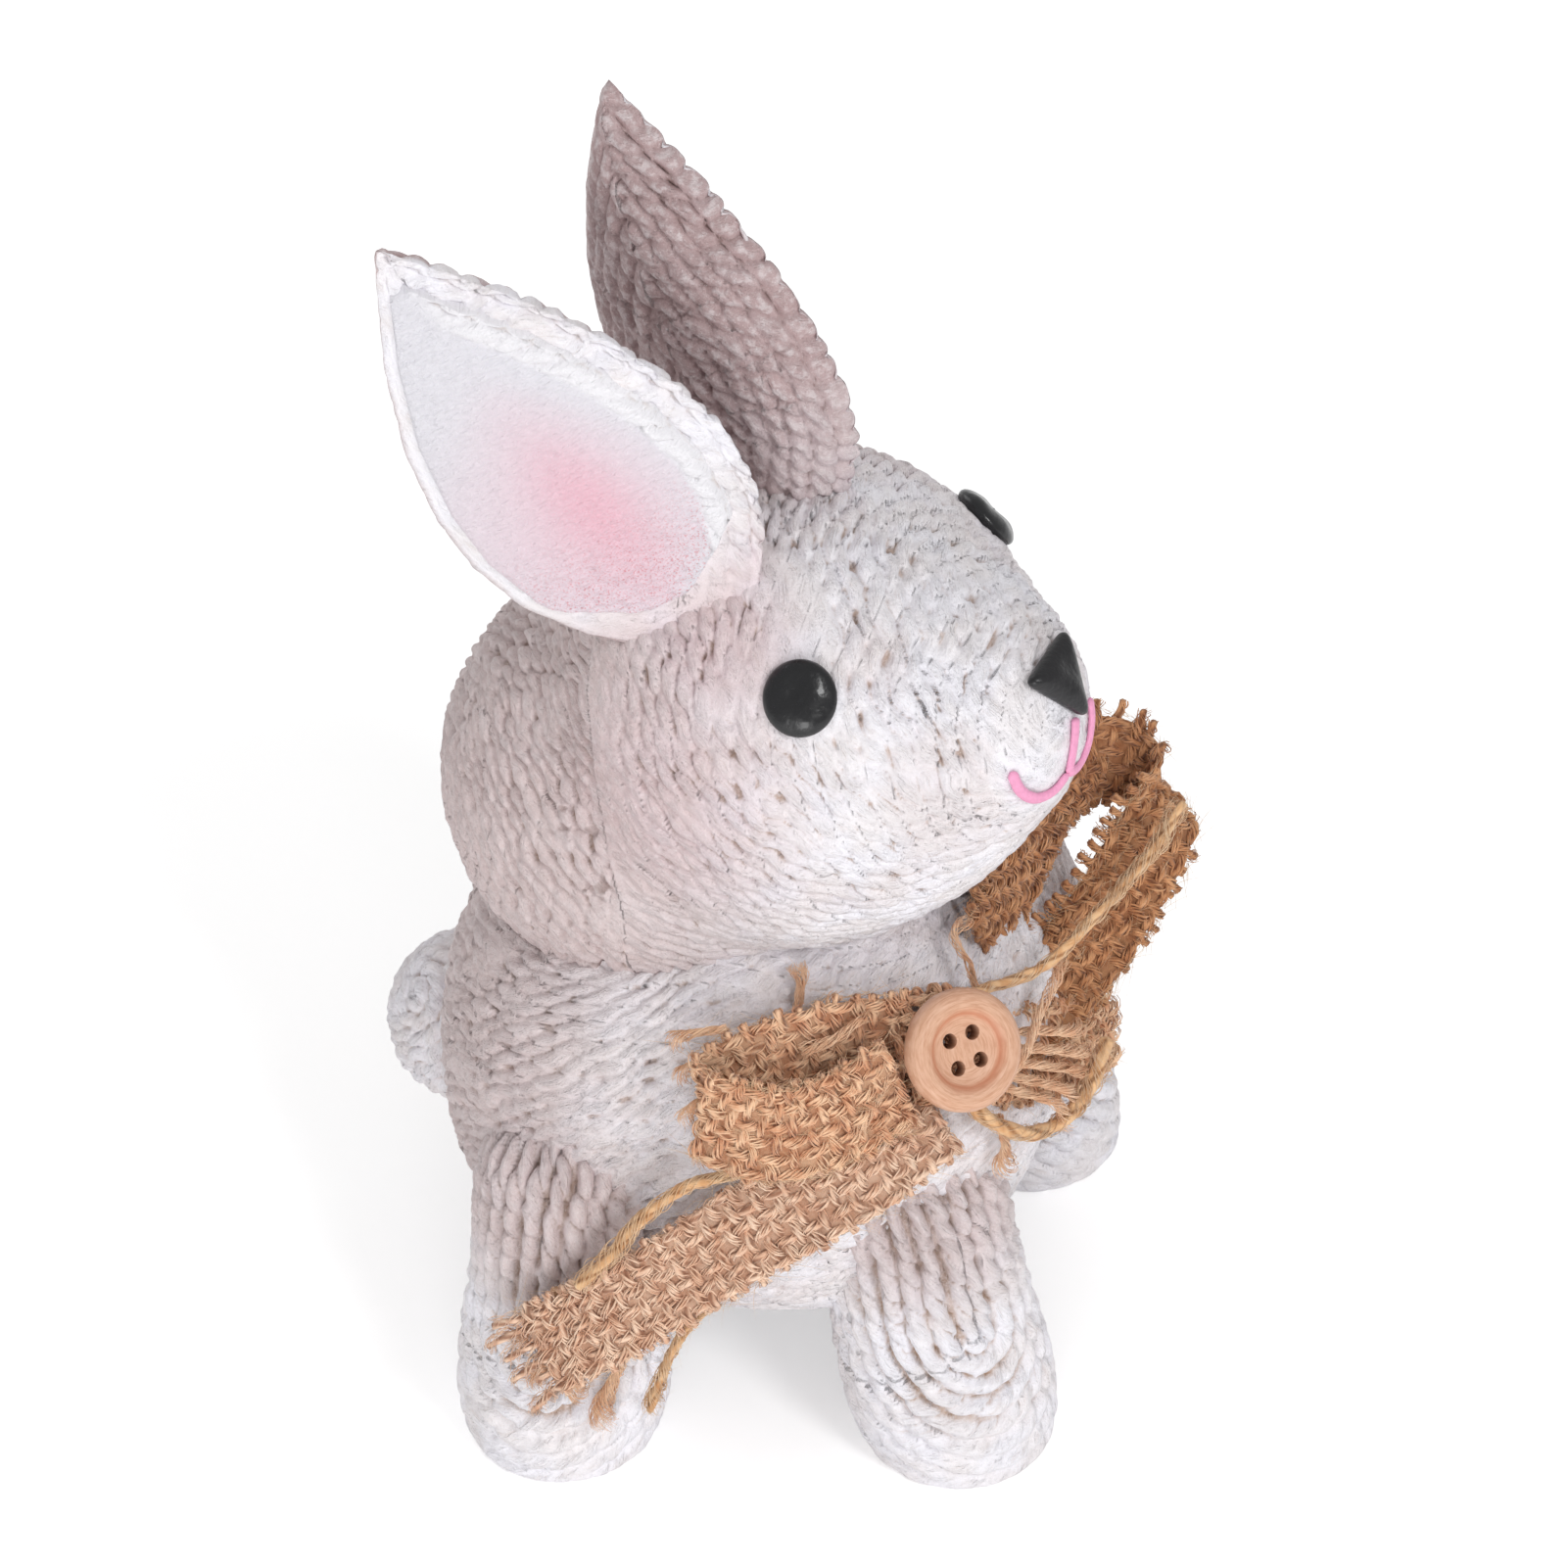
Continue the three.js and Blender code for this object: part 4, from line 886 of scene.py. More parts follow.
def wound_leg(name, sole, top, side, focus, focus_height, seed):
    profile = PAW_PROFILE + [
        (top[2] * 0.5, 13.5), (top[2] * 0.75, LEG_RADIUS), (top[2], LEG_RADIUS),
        (top[2] + LEG_RADIUS * 0.4, LEG_RADIUS * 0.95), (top[2] + LEG_RADIUS * 0.65, LEG_RADIUS * 0.82),
        (top[2] + LEG_RADIUS * 0.85, LEG_RADIUS * 0.5), (top[2] + LEG_RADIUS, 0.3),
    ]
    heights, radii = (np.array(column) for column in zip(*profile))
    arc = np.concatenate([[0], np.cumsum(np.hypot(np.diff(heights), np.diff(radii)))])
    count, around = 150, 216
    arcs = np.linspace(0, arc[-1], count)
    height, radius = np.interp(arcs, arc, heights), np.interp(arcs, arc, radii)
    radius[8:-8] = np.convolve(radius, np.ones(7) / 7, "same")[8:-8]
    centres = leg_centre(sole, top, side, height)
    h, a = grid(np.arange(count), full_turn(around))
    skin = centres[h] + np.stack([np.cos(a), np.sin(a), 0 * a], -1) * radius[h][:, None]
    z = skin[:, 2]
    faces = ring_grid(count, around)
    # Unrolled places: across the leg from the focus line, and up from the focus
    middle = leg_centre(sole, top, side, np.array(focus_height))
    focus_angle = math.atan2(focus[1] - middle[1], focus[0] - middle[0])
    s = np.minimum(radius, 13.5)[h] * ((a - focus_angle + math.pi) % (2 * math.pi) - math.pi)
    t = arcs[h] - np.interp(focus_height, heights, arc)
    warp = noise(skin, 12.0, seed) * 0.8 + noise(skin, 5.0, seed + 1) * 0.25
    number = (np.where(t > 0, np.abs(s), np.hypot(s, t)) + warp) / LEG_PITCH
    row = np.floor(number)
    # The way along each cord: down one side, round the focus and up the other side
    bow = (row + 0.5) * LEG_PITCH
    bend = -np.arctan2(-t, -s) * bow
    travel = np.where((t > 0) & (s < 0), t, np.where((t > 0) & (s >= 0), -bow * math.pi - t, bend))
    lobe = travel / LEG_LOBE + row * 0.37
    depth, fields = relief(
        number - row - 0.5, lobe, skin, 2.4, 1.5, LEG_TWIST, seed + 10, 0.3, row, 0.12, 0.35,
    )
    low = smoothstep(13.0, 5.0, z + noise(skin, 6.0, seed + 2) * 2)
    depth = (depth * (1 - 0.5 * low) + 0.15 * low) * (1 - smoothstep(1.5, 0.0, z))
    fields["deep"] = np.clip(fields["deep"] * 1.4, 0, 1) * (1 - 0.92 * low)
    points = skin - surface_normals(skin, faces[0]) * depth[:, None]
    points[:, 2] = np.maximum(points[:, 2], 0)
    ends = np.array([centres[0], centres[-1] + [0, 0, 0.3]])
    wound_piece(name, points, faces, fields, 0.6, smoothstep(22, 40, z) * 0.85, 1.0, 0.5, ends=ends)


# Tail
def wound_tail():
    direction, quads = sphere_grid(56)
    skin = TAIL_MIDDLE + direction * (TAIL_RADIUS - 0.05)
    rows = PoleRows(tail_reach, (-0.5, 0.6, 0.62), (-0.5, 0.6, 0.62), math.pi)
    across, lobe, _ = rows.rows(direction, noise(skin, 8.0, 71) * 0.6)
    depth, fields = relief(across, lobe, skin, 1.2, 1.0, TAIL_TWIST, 72, 0.12, 0, 0.15, 0.4)
    wound_piece("tail", skin - direction * depth[:, None], [quads], fields, 0.6, 0.12, 1.0, 0.5)


# Ears
def outline_places(x, y, length):
    """Distance in from the ear's outline, and the way along it, for places across and along the ear."""
    shares = np.linspace(0, 1, 61)
    half = ear_half_width(shares)
    distances, ways = [], []
    for side in (1, -1):
        line = np.stack([side * half, shares * length], 1)
        steps = np.diff(line, axis=0)
        way = arc_length(line)
        best, best_way = np.full(len(x), 1e9), np.zeros(len(x))
        for start, step, size, before in zip(line, steps, np.linalg.norm(steps, axis=1), way):
            part = np.clip(((x - start[0]) * step[0] + (y - start[1]) * step[1]) / size**2, 0, 1)
            gap = np.hypot(x - start[0] - part * step[0], y - start[1] - part * step[1])
            best_way = np.where(gap < best, before + part * size, best_way)
            best = np.minimum(gap, best)
        distances.append(best)
        ways.append(best_way if side > 0 else 2 * way[-1] - best_way)
    first, second = distances
    blend = np.clip(0.5 + (second - first) / 7.0, 0, 1)
    inside = first * blend + second * (1 - blend) - 1.75 * blend * (1 - blend)
    return np.maximum(inside, 0), np.where(first < second, *ways)


def wound_ear(side, ear, seed):
    base, along, face, across_axis, length = ear_frame(ear)
    count, around = 190, 220
    s, a = grid(np.linspace(0.0, 1.0, count), full_turn(around))
    half = ear_half_width(s)
    fullness = np.sqrt(2 * half / EAR_WIDTH)
    front = np.sin(a) > 0
    x, z = half * np.cos(a), np.where(front, EAR_LIP, EAR_BACK_DEPTH) * fullness * np.sin(a)
    skin = base + along * (s * length)[:, None] + across_axis * x[:, None] + face * z[:, None]
    faces = ring_grid(count, around)
    inward, way = outline_places(x, s * length, length)
    # On the back the way in from the edge follows the curve of the shell
    inward = np.where(front, -inward, inward + 0.25 * EAR_BACK_DEPTH * fullness * np.abs(np.sin(a)) ** 2)
    warp = noise(skin, 11.0, seed) * 0.5 + noise(skin, 5.0, seed + 1) * 0.3
    number = (inward + warp) / EAR_PITCH + 0.5
    row = np.floor(number)
    lobe = way / EAR_LOBE + row * 0.41
    depth, fields = relief(
        number - row - 0.5, lobe, skin, 1.3, 1.35, EAR_TWIST, seed + 10, 0.08, row, 0.15, 0.5,
    )
    # A smooth band runs down the rear edge, and the face carries only two rows on its front border
    behind = x * ear["rear"]
    rear_edge = smoothstep(-1.0, 0.2, behind / np.maximum(half, 0.1) * 3.5 - 3.0)
    rear_edge = np.where(front, smoothstep(0.0, 3.0, behind), rear_edge * smoothstep(3.4, 2.4, inward))
    fade = np.where(front, smoothstep(-6.5, -4.5, inward) * smoothstep(0.06, 0.16, s), 1.0)
    depth = (depth * (1 - 0.85 * rear_edge) + 0.1 * rear_edge) * fade + 0.5 * (1 - fade)
    fields["deep"] = fields["deep"] * fade * (1 - 0.9 * rear_edge)
    # White front and lit lower right, taupe back
    ahead = smoothstep(-2, 6, -behind) * ear["white"]
    back = smoothstep(0.4 - 0.7 * ahead, -0.1 - 0.65 * ahead, np.sin(a))
    tint = back * (1.0 - 0.4 * smoothstep(0.55, 0.1, s) * smoothstep(-2, 12, -behind))
    blush = 0.05 * back + 0.3 * (1 - back) * smoothstep(0.26, 0.08, s)
    ends = np.array([base - along * 0.5, base + along * (length + 0.6)])
    points = skin - surface_normals(skin, faces[0]) * depth[:, None]
    wound_piece(
        f"ear_{side}", points, faces, fields, back * 0.6, tint, 0.5 + 0.5 * back, 0.7 * back, blush, ends,
        "ear_resin",
    )


def lining_paint():
    n = Nodes("ear_lining")
    ribs = n.noise(n.scaled(n.field("cloth", "Vector"), (0.8, 2.2, 0.0)), 1.0, 2.0, 0.6)
    grain = n.noise(n.place(), 3.6, 3.0, 0.7)
    painted = n.field("pink")
    pink = n.math("ADD", painted, n.swing(grain, n.times(painted, 0.8)), clamp=True)
    colour = n.coats(
        n.mix(n.spread(ribs, 0.3, 0.7, 0.0, 0.5), srgb(228, 226, 232), srgb(218, 216, 224)),
        (n.field("rope"), srgb(240, 238, 242)),
        (n.times(pink, n.spread(painted, 0.0, 0.15)), srgb(236, 166, 184)),
        (n.times(n.field("crumple"), n.spread(grain, 0.52, 0.66)), srgb(208, 120, 128)),
        # The border cord's grooves take a grey-brown as painted shade
        (n.times(n.spread(n.field("deep"), 0.3, 1.0), 0.65), srgb(188, 168, 156)),
    )
    return n.finish(colour, 0.5, n.bumps((ribs, 0.45, 0.8), (grain, 0.22, 0.8)), 0.4)


LINING = lining_paint()


def ear_lining(side, ear, seed):
    base, along, face, across_axis, length = ear_frame(ear)
    rear = ear["rear"]
    rows, columns = 210, 110
    i, c = grid(np.linspace(0, 1, rows), np.linspace(-1, 1, columns))
    share = PANEL_FROM + (PANEL_TO - PANEL_FROM) * i
    half = ear_half_width(share)
    rounded = np.minimum(1, np.sqrt(np.maximum(i, 0.001) / 0.12))
    x = c * np.maximum(half - PANEL_BORDER, 0.5) * rounded + PANEL_SHIFT * rear
    surface = base + along * (share * length)[:, None] + across_axis * x[:, None]
    edge = np.minimum(1 - np.abs(c), np.minimum(i, 1 - i) * 6)
    crumple = smoothstep(0.34, 0.1, i)
    wave = noise(surface, 2.0, seed) * (0.1 + 0.3 * crumple)
    wave = wave + noise(surface, 0.9, seed + 1) * (0.05 + 0.12 * crumple)
    rib_way = share * length - 0.2 * x * rear + noise(surface, 2.5, seed + 2) * 0.35
    wave = wave + 0.1 * np.sin(2 * math.pi * rib_way / 1.25)
    bulge = np.maximum(1 - (x / np.maximum(half, 0.1)) ** 2, 0.02)
    shell_front = EAR_LIP * np.sqrt(2 * half / EAR_WIDTH) * np.sqrt(bulge)
    level = np.maximum(PANEL_DOME * (1 - c * c) * 0.9, shell_front + 0.1)
    level = level + 0.15 * smoothstep(0, 0.12, edge) - 0.7 * smoothstep(0.05, 0, edge)
    # One more cord row lies on the front border of the cloth
    inward, way = outline_places(x, share * length, length)
    number = 0.5 - inward / EAR_PITCH
    row = np.floor(number)
    lobe = way / EAR_LOBE + row * 0.41
    depth, rope = relief(
        number - row - 0.5, lobe, surface, 0.9, 1.1, EAR_TWIST, seed + 5, 0, row, 0.1, 0.3,
    )
    front = smoothstep(EAR_PITCH * 2.6, EAR_PITCH * 2.2, inward) * smoothstep(-1, 2, -x * rear)
    level = level + wave * smoothstep(0, 0.1, edge) * (1 - front)
    level = level + front * (0.8 - depth) * smoothstep(0, 0.06, edge)
    r, s = grid(np.arange(rows - 1), np.arange(columns - 1))
    first = r * columns + s
    quad = np.stack([first, first + 1, first + columns + 1, first + columns], 1)
    rim = np.concatenate([
        np.arange(columns), np.arange(1, rows) * columns + columns - 1,
        (rows - 1) * columns + np.arange(columns - 2, -1, -1), np.arange(rows - 2, 0, -1) * columns,
    ])
    after = np.roll(rim, -1)
    count = rows * columns
    walls = np.stack([rim, rim + count, after + count, after], 1)
    faces = [np.concatenate([quad, quad[:, ::-1] + count, walls])]
    core = np.exp(-(((i - 0.35) / 0.24) ** 2) - ((c + 0.08 * rear) / 0.4) ** 2)
    broad = np.exp(-(((i - 0.2) / 0.38) ** 2) - ((c - 0.3 * rear) / 1.0) ** 2)
    fields = dict(
        cloth=np.stack([x, share * length, 0 * x], 1),
        pink=np.clip(core * 0.42 + broad * 0.33, 0, 1) * (1 - front),
        crumple=crumple * 0.75 * (1 - front), deep=rope["deep"] * front, rope=front,
    )
    fields = {key: np.concatenate([values, values]) for key, values in fields.items()}
    points = np.concatenate([surface + face * level[:, None], surface - face * 1.4])
    mesh_object(f"ear_lining_{side}_cloth", points, faces, fields, LINING, "ear_lining", f"ear_lining_{side}")


wound_head()
wound_torso()
for number, (leg_name, values) in enumerate(LEGS.items()):
    wound_leg(leg_name, *values, seed=100 + number * 20)
wound_tail()
for number, (ear_side, ear_values) in enumerate(EARS.items()):
    wound_ear(ear_side, ear_values, 200 + number * 30)
    ear_lining(ear_side, ear_values, 300 + number * 10)


# Face
def plain_paint(name, colour, rough, specular, grain, scale, **sockets):
    n = Nodes(name)
    speckle = n.noise(n.place(), scale, 3.0)
    shade = tuple(c * 0.82 for c in colour[:3]) + (1.0,)
    mixed = n.mix(n.spread(speckle, 0.35, 0.7, 0.0, 0.6), colour, shade)
    roughness = n.spread(speckle, 0.3, 0.7, rough - 0.05, rough + 0.05)
    return n.finish(mixed, roughness, n.bumps((speckle, grain, 1.0)), specular, **sockets)


EYE_PAINT = plain_paint(
    "eye_gloss", srgb(18, 18, 21), 0.3, 0.4, 0.12, 0.9, Coat_Weight=0.25, Coat_Roughness=0.1,
)
NOSE_PAINT = plain_paint(
    "nose_gloss", srgb(24, 23, 26), 0.36, 0.4, 0.1, 1.6, Coat_Weight=0.15, Coat_Roughness=0.2,
)
MOUTH_PAINT = plain_paint("mouth_pink", srgb(240, 162, 198), 0.5, 0.4, 0.02, 2.0)


def on_head(points):
    """The head's own skin and normals under each point."""
    direction = unit(np.asarray(points, float) - HEAD_MIDDLE)
    side = unit(np.cross(UPRIGHT, direction))
    here = HEAD_MIDDLE + direction * head_reach(direction)[:, None]
    tilted = []
    for axis in (side, np.cross(direction, side)):
        other = unit(direction + axis * 0.002)
        tilted.append(HEAD_MIDDLE + other * head_reach(other)[:, None] - here)
    return here, unit(np.cross(*tilted))


def dome_piece(node, spot, outline, bulge, paint, slot, ripple, seed):
    """A low dome on the head's skin, its upright side up."""
    here, out = on_head([spot])
    middle, out = here[0] + out[0] * 0.1, unit(out[0])
    up = square_to(out, UPRIGHT)
    side = np.cross(up, out)
    rings, around = 40, 96
    level, a = grid(np.linspace(0.02, math.pi - 0.02, rings), full_turn(around))
    reach = outline(a) * np.sin(level) ** 0.7
    rise = bulge * np.cos(level)
    points = middle + side * (reach * np.cos(a))[:, None] + up * (reach * np.sin(a))[:, None]
    points = points + out * rise[:, None]
    wave = noise(points, 2.4, seed) * ripple * (np.cos(level) > 0) * np.cos(level)
    ends = np.array([middle + out * bulge * 0.999, middle - out * bulge])
    faces = [group[:, ::-1] for group in ring_grid(rings, around)]
    points = np.concatenate([points + out * wave[:, None], ends])
    mesh_object(node + "_dome", points, faces, {}, paint, slot, node)


def eye_outline(angle):
    return EYE_RADIUS * (1 + 0.05 * np.sin(angle) ** 2)


def nose_outline(angle):
    """Rounded triangle with its flat side up and its point down."""
    total = 0
    for side in (math.pi / 2, math.pi * 7 / 6, math.pi * 11 / 6):
        total = total + np.maximum(np.cos(angle - side), 0) ** NOSE_CORNER
    return NOSE_HALF_SIDE * total ** (-1 / NOSE_CORNER)


for eye_side, eye_at in EYES.items():
    dome_piece(f"eye_{eye_side}", eye_at, eye_outline, EYE_BULGE, EYE_PAINT, "eye", 0.3, 5)
dome_piece("nose", NOSE_AT, nose_outline, 1.6, NOSE_PAINT, "nose", 0.25, 9)


def mouth_line():
    parts = []
    angle = full_turn(12)
    for route in (MOUTH_STEM, MOUTH_RIGHT, MOUTH_LEFT):
        here, out = on_head(smooth_path(route, 0.25))
        path = here + out * 0.1
        side = unit(np.cross(unit(np.gradient(path, axis=0)), out))
        share = np.linspace(0, 1, len(path))
        ends = np.minimum(1, np.sqrt(np.minimum(share, 1 - share) / 0.05 + 0.05))
        width = (0.72 * ends * (1 + 0.08 * noise(path, 2.0, 8)))[:, None, None]
        ring = side[:, None] * np.cos(angle)[:, None] + out[:, None] * 0.55 * np.sin(angle)[:, None]
        points = (path[:, None] + ring * width).reshape(-1, 3)
        parts.append((np.concatenate([points, path[[0, -1]]]), ring_grid(len(path), 12), {}))
    mesh_object("mouth_line", *join_parts(parts), MOUTH_PAINT, "mouth", "mouth")


mouth_line()


# Burlap strips
LANE_PITCH = 2.0
LANES = [-5.0, -3.0, -1.0, 1.0, 3.0, 5.0]
WEAVE_LIFT = 0.45
YARN_RADIUS = 0.62


def strip_frames(values, step):
    path = smooth_path(values["path"], step)
    tangent = unit(np.gradient(path, axis=0))
    share = np.linspace(0, 1, len(path))[:, None]
    first, last = (np.array(w, float) for w in values["wide"])
    wished = first * (1 - share) + last * share
    wide = unit(wished - tangent * (wished * tangent).sum(1, keepdims=True))
    return path, wide, np.cross(tangent, wide)


def woven_yarn(path, seed, flare=0.0):
    """One burlap yarn: a core painted dark as shade, and the fibres that wrap it."""
    points, faces, fields = yarn_mesh(path, YARN_RADIUS * 0.8, 4.0, 7, seed)
    fields["deep"] = np.clip(fields["deep"] + 0.35, 0, 1)
    return [(points, faces, fields), fibre_bundle(path, YARN_RADIUS, 5.5, 11, 0.13, seed + 7000, flare)]


def burlap_strip(name, values, yarn_material, comb, frayed, seed):
    frames = strip_frames(values, 0.4)
    path = frames[0]
    length = arc_length(path)
    total = length[-1]
    last_way = unit(path[-1] - path[-3])
    ripple = 0.5 * np.sin(length / 6.0 + seed)

    def at(along, across, lift):
        """Places on the strip: way along it, way across it and height off its middle face."""
        along, across, lift = np.broadcast_arrays(along, across, lift)
        spot, wide, face = (
            np.stack([np.interp(along, length, values[:, k]) for k in range(3)], -1) for values in frames
        )
        wave = np.interp(along, length, ripple) * (across / 6.0)
        past = np.maximum(along - total, 0)[..., None]
        hang = last_way * past - UPRIGHT * 0.05 * past**2
        return spot + wide * across[..., None] + face * (lift + wave * 0.5)[..., None] + hang

    # Base cloth, a thin closed sheet, marked deep for painted shade in the gaps between the yarns
    s = np.linspace(0.3, total - 0.3, max(int(total / 0.9), 8))
    columns = np.linspace(-STRIP_WIDTH / 2 + 0.6, STRIP_WIDTH / 2 - 0.6, 13)
    sheet = at(s[:, None], np.concatenate([columns, columns[::-1]]), np.repeat([0.1, -0.1], 13))
    sheet = np.concatenate([sheet.reshape(-1, 3), at(s[[0, -1]], 0.0, 0.0)])
    fields = dict(strand=sheet * 2.0, deep=np.full(len(sheet), 0.7))
    base = mesh_object(name + "_cloth", sheet, ring_grid(len(s), 26), fields, yarn_material, "burlap", name)

    # Woven yarns along and across, the cross ones sticking out past the outer lanes like a comb
    draw = np.random.default_rng(seed)
    parts = []
    for k, lane in enumerate(LANES):
        reach = total + (draw.uniform(*frayed) if frayed else 0)
        along = np.linspace(0, reach, int(reach / 0.55))
        drift = np.interp(along, np.linspace(0, total, 11), draw.normal(0, 0.22, 11))
        splay = lane * 0.05 * np.maximum(along - total, 0)
        wave = np.cos(along / LANE_PITCH * math.pi + k * math.pi)
        lift = WEAVE_LIFT * wave * smoothstep(1.5, 0, along - total)
        parts += woven_yarn(at(along, lane + drift + splay, lift), seed * 7 + k, 0.8 if frayed else 0.3)
    for j in range(int(total / LANE_PITCH) + 1):
        low, high = (draw.uniform(0.7, 1.5) + side for side in comb)
        across = np.linspace(-5 - low, 5 + high, 32)
        lift = (-1 if j % 2 == 0 else 1) * WEAVE_LIFT * np.cos((across + 5) / LANE_PITCH * math.pi)
        lift = np.where(np.abs(across) > 5.2, lift * 0.3, lift)
        way = j * LANE_PITCH + draw.normal(0, 0.2) + 0.3 * np.sin(across / 3 + draw.uniform(0, 6))
        yarn_path = at(np.clip(way, 0, total), across, lift)
        if draw.uniform() < 0.5:
            yarn_path = yarn_path[::-1]
        parts += woven_yarn(yarn_path, seed * 90 + j, 0.5)
    weave = mesh_object(name + "_weave", *join_parts(parts), yarn_material, "burlap")

    # Stray fibres over the faces and longer ones along the edges
    hairs = []
    along = np.linspace(0, total, int(total / 0.5))
    for k, lane in enumerate((-5.8, -3, 0, 3, 5.8)):
        dense, reach = (3.8, 4.4) if abs(lane) > 5 else (2.4, 3.0)
        hairs.append(fuzz(at(along, lane, 0.5), int(total * dense), reach, seed * 11 + k))
    hair = mesh_object(name + "_fibres", *join_parts(hairs), HAIR, "burlap")


# How far cross yarns stick out past each side, how far the lengthwise ones hang past the end, and which
# burlap paint each strip takes, the darker ones painted shade
STRIP_EDGES = {
    "bow_loop_right": dict(yarn_material=YARN_IN_SHADE, comb=(0.0, 0.2), frayed=None),
    "bow_loop_left": dict(yarn_material=YARN_IN_DEEP_SHADE, comb=(0.4, 1.4), frayed=None),
    "bow_tail_right": dict(yarn_material=YARN, comb=(0.0, 0.0), frayed=(1.5, 5.0)),
    "bow_tail_left": dict(yarn_material=YARN_IN_SHADE, comb=(0.2, 0.2), frayed=(1.0, 4.0)),
}
for number, (strip_name, strip_values) in enumerate(STRIPS.items()):
    burlap_strip(strip_name, strip_values, seed=21 + number, **STRIP_EDGES[strip_name])


def bow_knot():
    out = unit(BUTTON_NORMAL)
    up = square_to(out, (0.42, 0.1, 0.9))
    side = np.cross(up, out)
    half_side, half_up, half_out = KNOT_HALF
    parts, hairs = [], []
    angle = np.linspace(0, 2 * math.pi, 90)
    for first, second, half_first, half_second, weave, seed in (
        (side, up, half_side, half_up, 1, 400), (up, side, half_up, half_side, -1, 420),
    ):
        for k in range(-3, 4):
            offset = k * LANE_PITCH
            room = math.sqrt(max(1 - (offset / (half_first + 0.6)) ** 2, 0.05))
            lift = 1 + 0.06 * np.cos(angle * 9 + k * math.pi) * weave
            across = (half_second - 0.7) * room * np.sin(angle) * lift
            away = (half_out - 0.8) * room * np.cos(angle) * lift
            ring = KNOT_AT + first * offset + second * across[:, None] + out * away[:, None]
            parts += woven_yarn(ring, seed + k)
            hairs.append(fuzz(ring, 26, 3.0, seed + 50 + k))
    # The knot takes the shaded burlap paint, painted shade
    mesh_object("bow_knot_weave", *join_parts(parts), YARN_IN_SHADE, "burlap", "bow_knot")
    mesh_object("bow_knot_fibres", *join_parts(hairs), HAIR, "burlap")


bow_knot()

# Loose tufts and comb ends of the burlap: route, spread at the end, and number of fibres
TUFTS = [
    ([(-46.0, 5.6, 29.0), (-45.6, 7.8, 20.7), (-47.4, 8.8, 16.7), (-48.8, 9.8, 12.6)], 1.6, 60),
    ([(-47.0, 11.5, 30.0), (-48.3, 12.5, 22.6), (-48.5, 12.6, 18.6)], 1.2, 45),
    ([(-47.6, 14.6, 31.0), (-49.0, 16.4, 24.4), (-49.3, 17.2, 20.6)], 1.0, 45),
    ([(-47.2, 15.0, 36.0), (-48.4, 17.4, 31.0), (-48.2, 19.4, 26.6)], 1.0, 45),
    ([(-28.2, -11.0, 69.5), (-25.6, -10.4, 72.6), (-23.2, -9.8, 73.9)], 0.9, 36),
    ([(-31.2, -23.8, 67.7), (-33.8, -22.0, 65.4), (-36.0, -20.6, 63.2), (-37.6, -19.4, 61.4)], 0.7, 34),
    ([(-28.8, -19.2, 71.7), (-31.4, -16.1, 70.2), (-33.5, -12.4, 69.2)], 0.5, 26),
    ([(-21.2, -32.4, 70.6), (-18.8, -29.8, 73.3), (-15.7, -28.5, 75.1), (-14.4, -28.6, 76.2)], 0.5, 22),
    ([(-25.6, -35.6, 55.6), (-26.6, -35.8, 51.4), (-25.4, -35.6, 47.0)], 1.4, 40),
    ([(-33.6, -26.8, 61.0), (-36.2, -23.1, 60.2), (-37.4, -20.6, 59.8)], 0.6, 26),
    ([(-26.7, -34.6, 58.6), (-22.4, -37.5, 63.0), (-17.9, -38.3, 66.4), (-10.3, -40.3, 68.4)], 0.5, 26),
    ([(-20.3, -34.6, 64.4), (-15.6, -41.6, 62.7), (-13.3, -44.3, 60.2)], 0.8, 34),
    ([(-20.8, -35.2, 62.4), (-16.7, -42.4, 60.0), (-14.6, -45.4, 57.0)], 0.8, 34),
    ([(-21.3, -35.6, 60.4), (-18.0, -43.0, 57.5), (-16.2, -46.0, 54.1)], 0.8, 34),
    ([(-22.0, -35.8, 59.0), (-19.7, -42.8, 55.3), (-18.3, -45.4, 51.5)], 0.8, 34),
    ([(-23.0, -35.6, 57.8), (-21.5, -42.0, 53.7), (-20.4, -44.2, 49.9)], 0.9, 34),
    ([(-33.3, -3.6, 71.2), (-33.8, 1.3, 70.4), (-34.7, 3.5, 68.5)], 1.1, 34),
    ([(-36.3, -3.9, 69.0), (-36.4, 0.3, 67.8), (-36.5, 2.0, 65.0)], 1.1, 34),
    ([(-37.9, -5.1, 65.2), (-38.9, -1.2, 63.4), (-39.7, 0.2, 60.5)], 1.1, 34),
    ([(-39.4, -7.2, 62.6), (-40.5, -4.2, 60.2), (-40.0, -3.3, 56.4)], 1.1, 34),
]


def bow_tufts():
    body, hairs = [], []
    for number, (route, spread, count) in enumerate(TUFTS):
        draw = np.random.default_rng(680 + number)
        route = [np.array(route[0])] + [np.array(spot) + draw.normal(0, 0.45, 3) for spot in route[1:]]
        path = smooth_path(route, 0.4)
        body.append(fibre_bundle(path, 0.55, 7.0, count, 0.06, 600 + number, spread))
        hairs.append(fuzz(path, 26, 3.2, 640 + number))
    mesh_object("bow_knot_tufts", *join_parts(body), TUFT, "burlap")
    mesh_object("bow_knot_wisps", *join_parts(hairs), HAIR, "burlap")


bow_tufts()


